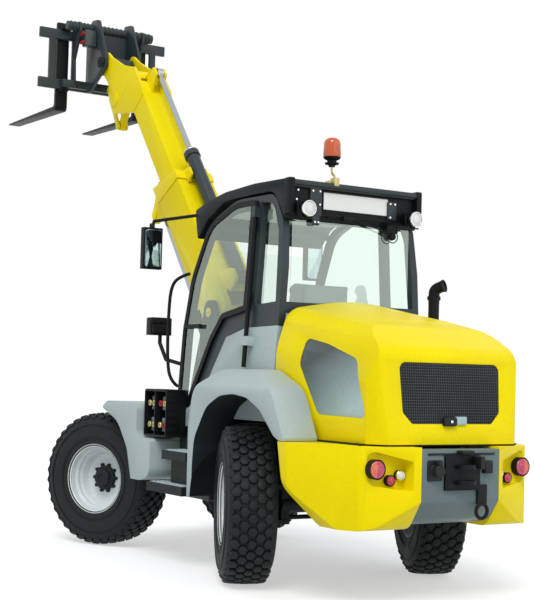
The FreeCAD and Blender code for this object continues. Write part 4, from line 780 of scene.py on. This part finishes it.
# Beacon: an amber polycarbonate dome, moulded with fine ribs, on a black rubber foot. A bent
# stalk holds it in a zinc-plated bracket that is bolted to the roof rail.
zinc_plate = metal("yellow_passivated_zinc", "#b9ae7c", 0.25, 0.45, 120.0)
plinth = block((-0.088, 0.134, 1.545), (-0.03, 0.204, 1.574), 0.004)
clamp = block((-0.12, 0.15, 1.535), (-0.07, 0.19, 1.59), 0.003)
fitted(joined(plinth, clamp), "beacon_bracket", zinc_plate)
stalk = tube([(-0.095, 0.17, 1.575), (-0.095, 0.17, 1.6), (-0.06, 0.17, 1.62),
              (-0.055, 0.17, 1.64), (-0.055, 0.17, 1.672)], 0.008)
fitted(stalk, "beacon_stalk", zinc_plate)
foot = turned([(-0.001, 0.0), (-0.001, 0.02), (0.012, 0.024), (0.016, 0.045), (0.026, 0.047),
               (0.03, 0.03), (0.042, 0.032), (0.05, 0.05), (0.062, 0.058), (0.066, 0.056),
               (0.066, 0.0)], 48)
fitted(aimed(foot, (-0.055, 0.17, 1.668), (0, 0, 1)), "beacon_foot", black_powder_coat)
dome = turned([(-0.001, 0.0), (-0.001, 0.056), (0.006, 0.0585), (0.02, 0.0585), (0.09, 0.055),
               (0.108, 0.049), (0.12, 0.038), (0.127, 0.02), (0.128, 0.0)], 64)
deep_amber_lens = lens("deep_amber_polycarbonate", "#e6620c", "#a83a06", 0.14, 0.007)
fitted(aimed(dome, (-0.055, 0.17, 1.732), (0, 0, 1)), "beacon_dome", deep_amber_lens)
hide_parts("beacon")


# Grille: black woven wire in front of the radiator, clipped into the opening of the hood's
# rear face. The real wires are finer, and are drawn 16 mm apart so that they show.
LEAN = 0.1


def lean(z):
    """How far back the grille's sloping face stands at a height over the deck."""
    return -1.1105 + LEAN * (z - 0.059)


def in_a_row(piece, step, count):
    """Repeats a piece along a step."""
    row = piece.modifiers.new("row", "ARRAY")
    row.use_relative_offset = False
    row.use_constant_offset = True
    row.constant_offset_displace = step
    row.count = count
    bpy.context.view_layer.objects.active = piece
    bpy.ops.object.modifier_apply(modifier="row")


WIRE_PITCH = 0.0163
WIRE_RADIUS = 0.0017
GRILLE_HALF = 0.374
grille_wire = coated("painted_grille_wire", "#4a5153", "#3c4345", 0.42, 0.1, 1.0)
upright = tube([(lean(z), -GRILLE_HALF, z) for z in (0.05, 0.15, 0.22, 0.3, 0.397)], WIRE_RADIUS)
in_a_row(upright, (0, WIRE_PITCH, 0), 46)
crossing = tube([(lean(0.05), y, 0.05) for y in (-GRILLE_HALF, -0.2, 0, 0.2, GRILLE_HALF)],
                WIRE_RADIUS)
in_a_row(crossing, (LEAN * WIRE_PITCH, 0, WIRE_PITCH), 22)
# The wires end at the edge of the opening, which has cut lower corners.
mesh_wires = settle(joined(upright, crossing), grille_wire)
bpy.ops.object.mode_set(mode="EDIT")
for side, way in SIDES:
    for (y, z), (across, up) in (((0.363, 0.113), (0.707, -0.707)),
                                 ((0.364, 0.112), (1.0, -0.045))):
        bpy.ops.mesh.select_all(action="SELECT")
        bpy.ops.mesh.bisect(plane_co=deck + Vector((0, way * y, z)), use_fill=True,
                            plane_no=(0, way * across, up), clear_outer=True)
bpy.ops.object.mode_set(mode="OBJECT")
fitted(mesh_wires, "grille_wires", grille_wire, "hood")


# Hood catch at the foot of the grille: a black moulded handle with a bright lock, and a
# small bare plate beside it.
handle = block((-1.138, -0.018, 0.034), (-1.098, 0.078, 0.086), 0.006, 0.014)
tab = block((-1.126, -0.1, 0.042), (-1.104, -0.022, 0.09), 0.003, 0.008)
fitted(handle, "hood_catch", grained_black_plastic, "hood")
fitted(tab, "hood_catch_plate", side_grille_panel, "hood")
lock = turned([(-0.004, 0.0), (-0.004, 0.009), (0.001, 0.009), (0.003, 0.007), (0.003, 0.0)], 24)
fitted(aimed(lock, (-1.138, 0.022, 0.06)), "hood_catch_lock", bright_bezel, "hood")


# Seal between the hood and the bumper: three strips of black foam rubber, stuck along the
# bumper's top edge behind and on both sides.
SEAL_LOW, SEAL_HIGH = -0.0822, -0.0735
lips = [block((-1.112, -0.5, SEAL_LOW), (-1.086, 0.5, SEAL_HIGH), 0.002, 0.012, 2)]
lips += [block((-1.02, 0.566, SEAL_LOW), (-0.57, 0.592, SEAL_HIGH), 0.002, way=way)
         for side, way in SIDES]
fitted(joined(*lips), "hood_seal", black_rubber)


# Exhaust: an elbow of black steel tube with a flared mouth. It is pushed over the end of the
# pipe and held by a collar.
elbow = tube([(-0.455, -0.38, 0.79), (-0.455, -0.38, 0.85), (-0.457, -0.381, 0.872),
              (-0.478, -0.392, 0.892), (-0.512, -0.41, 0.904)], 0.037)
collar = turned([(-0.012, 0.036), (-0.012, 0.043), (0.012, 0.043), (0.012, 0.036)], 40)
collar = aimed(collar, (-0.455, -0.38, 0.825), (0, 0, 1))
mouth = aimed(turned([(-0.02, 0.036), (-0.002, 0.041), (0.003, 0.041), (0.003, 0.034),
                      (-0.02, 0.03), (-0.02, 0.0)], 40), (-0.516, -0.412, 0.905),
              (-0.86, -0.45, 0.24))
fitted(joined(elbow, collar, mouth), "exhaust_elbow", black_powder_coat)


# Step treads: moulded grey plates with rows of raised hollow studs for grip. They are
# riveted on top of the step boxes.
STUD_PITCH = 0.04
for side, way in SIDES:
    studs = []
    for x_low, x_high, y_low, y_high, top in ((0.692, 0.998, 0.622, 0.778, -0.235),
                                              (0.665, 1.135, 0.63, 0.818, -0.46)):
        studs.append(block((x_low, y_low, top), (x_high, y_high, top + 0.004), 0.0012, 0.012, 2,
                           way))
        stud = turned([(0.0015, 0.0105), (0.006, 0.009), (0.0075, 0.0065), (0.0045, 0.004),
                       (0.0045, 0.0)], 12)
        y_first = min(way * y_low, way * y_high) + 0.022
        aimed(stud, (x_low + 0.024, y_first, top + 0.001), (0, 0, 1))
        settle(stud, grey_moulded_panel)
        count = round((x_high - x_low) / STUD_PITCH)
        in_a_row(stud, ((x_high - x_low - 0.048) / (count - 1), 0, 0), count)
        in_a_row(stud, (0, (y_high - y_low - 0.044) / 4, 0), 5)
        studs.append(stud)
    fitted(joined(*studs), f"step_treads_{side}", grey_moulded_panel)


# Hydraulic take-off: a black bracket of coated steel plate with ribs and louvres. It carries
# grey manifold blocks of zinc-plated couplings, two of them under red rubber caps.
red_rubber = coated("red_rubber_caps", "#a8232b", "#8d1b22", 0.5, 0.0, 1.0)
plate = block((0.985, 0.626, -0.15), (1.305, 0.682, 0.18), 0.004, 0.02, 1)
shelf = block((0.978, 0.63, 0.164), (1.312, 0.788, 0.18), 0.003, 0.02, 2)
floor_plate = block((0.978, 0.63, -0.15), (1.312, 0.788, -0.136), 0.003, 0.02, 2)
ribs = [block((x, 0.67, -0.142), (x + 0.012, 0.786, 0.17), 0.003)
        for x in (0.98, 1.144, 1.298)]
louvres = [block((0.9765, 0.69, z), (0.985, 0.77, z + 0.022), 0.003)
           for z in (-0.11, -0.06, -0.01, 0.04, 0.09)]
take_off = fitted(joined(plate, shelf, floor_plate, *ribs, *louvres), "take_off_bracket",
                  black_powder_coat)
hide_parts("valve_block")
manifold = [block((x, 0.68, z), (x + 0.125, 0.735, z + 0.095), 0.005)
            for x in (1.006, 1.165) for z in (-0.115, 0.035)]
fitted(joined(*manifold), "take_off_manifold", side_grille_panel)
couplings = [(x, 0.733, z) for z in (-0.068, 0.082) for x in (1.036, 1.1, 1.195, 1.259)]
for name, material, finish, picks in (
        ("take_off_caps", red_rubber, "black_plastic", (0, 5)),
        ("take_off_couplings", zinc_plate, "silver_rim", (1, 2, 3, 4, 6, 7))):
    cap = turned([(-0.001, 0.018), (0.018, 0.018), (0.02, 0.022), (0.034, 0.022), (0.038, 0.019),
                  (0.038, 0.011), (0.03, 0.009), (0.03, 0.0)], 28)
    caps = copied(cap, [couplings[pick] for pick in picks], (0, 1, 0), material)
    fitted(caps, name, material)


# Grab rails: round steel tube, bent and powder-coated black. One is bolted to the cab's
# frame ahead of each door.
for side, way in SIDES:
    rail = tube([(1.16, way * 0.6, 0.2), (1.19, way * 0.655, 0.24), (1.225, way * 0.66, 0.42),
                 (1.235, way * 0.655, 0.7), (1.225, way * 0.645, 0.93), (1.15, way * 0.59, 0.99),
                 (1.11, way * 0.56, 1.0)], 0.012)
    fitted(rail, f"grab_rail_{side}", black_powder_coat)


# Hitch: a seven-pole socket with its lid, a small tap block, a plug and a lip over the
# coupling. All are moulded in black plastic and bolted to the grey panel.
socket = aimed(turned([(-0.001, 0.04), (0.012, 0.04), (0.016, 0.034), (0.04, 0.032),
                       (0.045, 0.036), (0.055, 0.036), (0.06, 0.03), (0.06, 0.0)], 36),
               (-1.2, 0.2, -0.215))
hinge_lug = block((-1.262, 0.188, -0.182), (-1.2, 0.212, -0.158), 0.004)
back = block((-1.21, 0.146, -0.275), (-1.199, 0.254, -0.155), 0.003, 0.012)
tap = block((-1.235, -0.215, -0.235), (-1.199, -0.155, -0.16), 0.006)
slot_lip = block((-1.206, -0.25, -0.128), (-1.199, 0.25, -0.116), 0.002)
plug = block((-1.262, -0.05, -0.118), (-1.199, 0.04, -0.1), 0.005)
guard = block((-1.29, -0.105, -0.205), (-1.2145, -0.072, -0.1325), 0.006)
fitted(joined(socket, hinge_lug, back, tap, slot_lip, plug, guard), "hitch_fittings",
       grained_black_plastic)


# Quick coupler: the top tube carries turned steel wear rings, painted with it. A grey
# multi-coupling under red rubber caps is bolted to the cheek beside it.
tool = Vector(joints["tool_tilt"]["pos_m"]) - deck
ring = turned([(-0.007, 0.041), (-0.007, 0.045), (-0.004, 0.0475), (0.004, 0.0475), (0.007, 0.045),
               (0.007, 0.041)], 40)
rings = [tool + Vector((0.235, way * y, 0.345)) for side, way in SIDES
         for y in (0.02, 0.06, 0.1, 0.19, 0.225, 0.26, 0.35, 0.385)]
fitted(copied(ring, rings, (0, 1, 0), slate_enamel), "coupler_rings", slate_enamel,
       "carriage")
base = block(tool + Vector((0.13, 0.178, 0.16)), tool + Vector((0.205, 0.285, 0.31)), 0.006, 0.012,
             1)
fitted(base, "multi_coupling", side_grille_panel, "carriage")
cap = turned([(-0.001, 0.013), (0.012, 0.013), (0.014, 0.016), (0.024, 0.016), (0.027, 0.012),
              (0.027, 0.0)], 24)
caps = [tool + Vector((x, 0.284, z)) for x in (0.148, 0.186) for z in (0.195, 0.275)]
fitted(copied(cap, caps, (0, 1, 0), red_rubber), "multi_coupling_caps", red_rubber,
       "carriage")


# Pin heads: the pin that the tool tilts on and the pin that the boom lifts on each end in
# turned steel caps. A grease nipple stands in the middle of each.
lift_pivot = Vector(joints["boom_lift"]["pos_m"]) - deck
frame_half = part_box("main_frame")[1].y
for pin, body, pivot, half, radius in (("tool", "carriage", tool, 0.196, 0.05),
                                       ("boom", "chassis", lift_pivot, frame_half, 0.055)):
    for side, way in SIDES:
        cap = turned([(-0.003, radius), (0.005, radius), (0.009, radius * 0.88),
                      (0.009, radius * 0.4), (0.006, radius * 0.34), (0.006, 0.006),
                      (0.014, 0.005), (0.016, 0.003), (0.016, 0.0)], 36)
        fitted(aimed(cap, pivot + Vector((0, way * half, 0)), (0, way, 0)),
               f"{pin}_pin_cap_{side}", dark_chassis_paint, body)


# Gland of the telescope's cylinder: a bright turned steel ring round the rod where it comes
# out. It is screwed on the far end of the barrel, which is found from the barrel's own points.
GLAND_RADIUS = 0.062
END_FACE = 0.0005
along = Vector(joints["telescope"]["axis"]).normalized()
if along.z < 0:
    along = -along
points = [corner.co for corner in nodes["telescope_barrel"].data.vertices]
reach = max(point.dot(along) for point in points)
mouth = [point for point in points if point.dot(along) > reach - END_FACE]
outline = ((-0.004, 0.98), (0.01, 1), (0.014, 0.96), (0.014, 0.62), (0.019, 0.6), (0.019, 0.52),
           (-0.004, 0.52))
ring = turned([(place, GLAND_RADIUS * share) for place, share in outline], 48)
fitted(aimed(ring, sum(mouth, Vector()) / len(mouth) - deck, along), "telescope_gland",
       bright_bezel, "boom")


# Seat cushions: cut foam in a grey woven cover. Air pressed into a thin copy by a cloth
# simulation crowns the faces and draws in the sides, as a tight cover does.
seat_weave, tree, shader, place = blank("grey_woven_seat_cloth")
# The yarn is about 1 mm thick and is drawn at 4 mm so that it shows.
YARN_SCALE = 78.0
warp, weft = (add(tree, "ShaderNodeTexWave", {"Scale": YARN_SCALE, "Distortion": 0.4},
                  {"Vector": place}, bands_direction=run) for run in ("Y", "DIAGONAL"))
yarn = add(tree, "ShaderNodeMath", links={0: warp.outputs["Fac"], 1: weft.outputs["Fac"]},
           operation="MULTIPLY")
tint = add(tree, "ShaderNodeMix", {6: linear("#5f7472"), 7: linear("#8aa09c")}, {0: yarn},
           data_type="RGBA")
relief = add(tree, "ShaderNodeBump", {"Strength": 0.4, "Distance": 0.001}, {"Height": yarn})
wire(tree, shader, {"Roughness": 0.9, "Sheen Weight": 0.3}, {"Base Color": tint, "Normal": relief})

foam = copy_of("seat_foam", nodes["seat_cushions"])
alone(foam)
bpy.ops.object.mode_set(mode="EDIT")
bpy.ops.mesh.select_all(action="SELECT")
bpy.ops.mesh.remove_doubles(threshold=MERGE)
bpy.ops.mesh.separate(type="LOOSE")
bpy.ops.object.mode_set(mode="OBJECT")
cushions = list(bpy.context.selected_objects)
cushions.sort(key=lambda cushion: min(corner.co.z for corner in cushion.data.vertices))
SWELL_LIMIT = 0.012
AIR_PRESSURE = 4
SWELL_FRAMES = 20
SKIN_STEP, QUICK_SKIN_STEP = 0.0075, 0.015
THINNED = Matrix.Diagonal((0.93, 0.965, 0.95, 1))
for cushion, name in zip(cushions, ("seat_pad", "back_pad")):
    alone(cushion)
    corners = [corner.co for corner in cushion.data.vertices]
    middle = Vector([(min(spread) + max(spread)) / 2 for spread in zip(*corners)])
    cushion.data.transform(Matrix.Translation(middle) @ THINNED @ Matrix.Translation(-middle))
    skin = cushion.modifiers.new("skin", "REMESH")
    skin.mode = "VOXEL"
    skin.voxel_size = SKIN_STEP
    bpy.ops.object.modifier_apply(modifier="skin")
    start = [corner.co.copy() for corner in cushion.data.vertices]
    fill = cushion.modifiers.new("fill", "CLOTH")
    fill.settings.use_pressure = True
    fill.settings.uniform_pressure_force = AIR_PRESSURE
    fill.settings.effector_weights.gravity = 0
    for frame_number in range(1, SWELL_FRAMES + 1):
        bpy.context.scene.frame_set(frame_number)
    bpy.ops.object.modifier_apply(modifier="fill")
    bpy.context.scene.frame_set(1)
    for corner, was in zip(cushion.data.vertices, start):
        shift = corner.co - was
        if shift.length > SWELL_LIMIT:
            corner.co = was + shift.normalized() * SWELL_LIMIT
    finer = cushion.modifiers.new("finer", "SUBSURF")
    finer.levels = finer.render_levels = 1
    bpy.ops.object.modifier_apply(modifier="finer")
    fitted(cushion, name, seat_weave, smooth_deg=60)
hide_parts("seat_cushions")
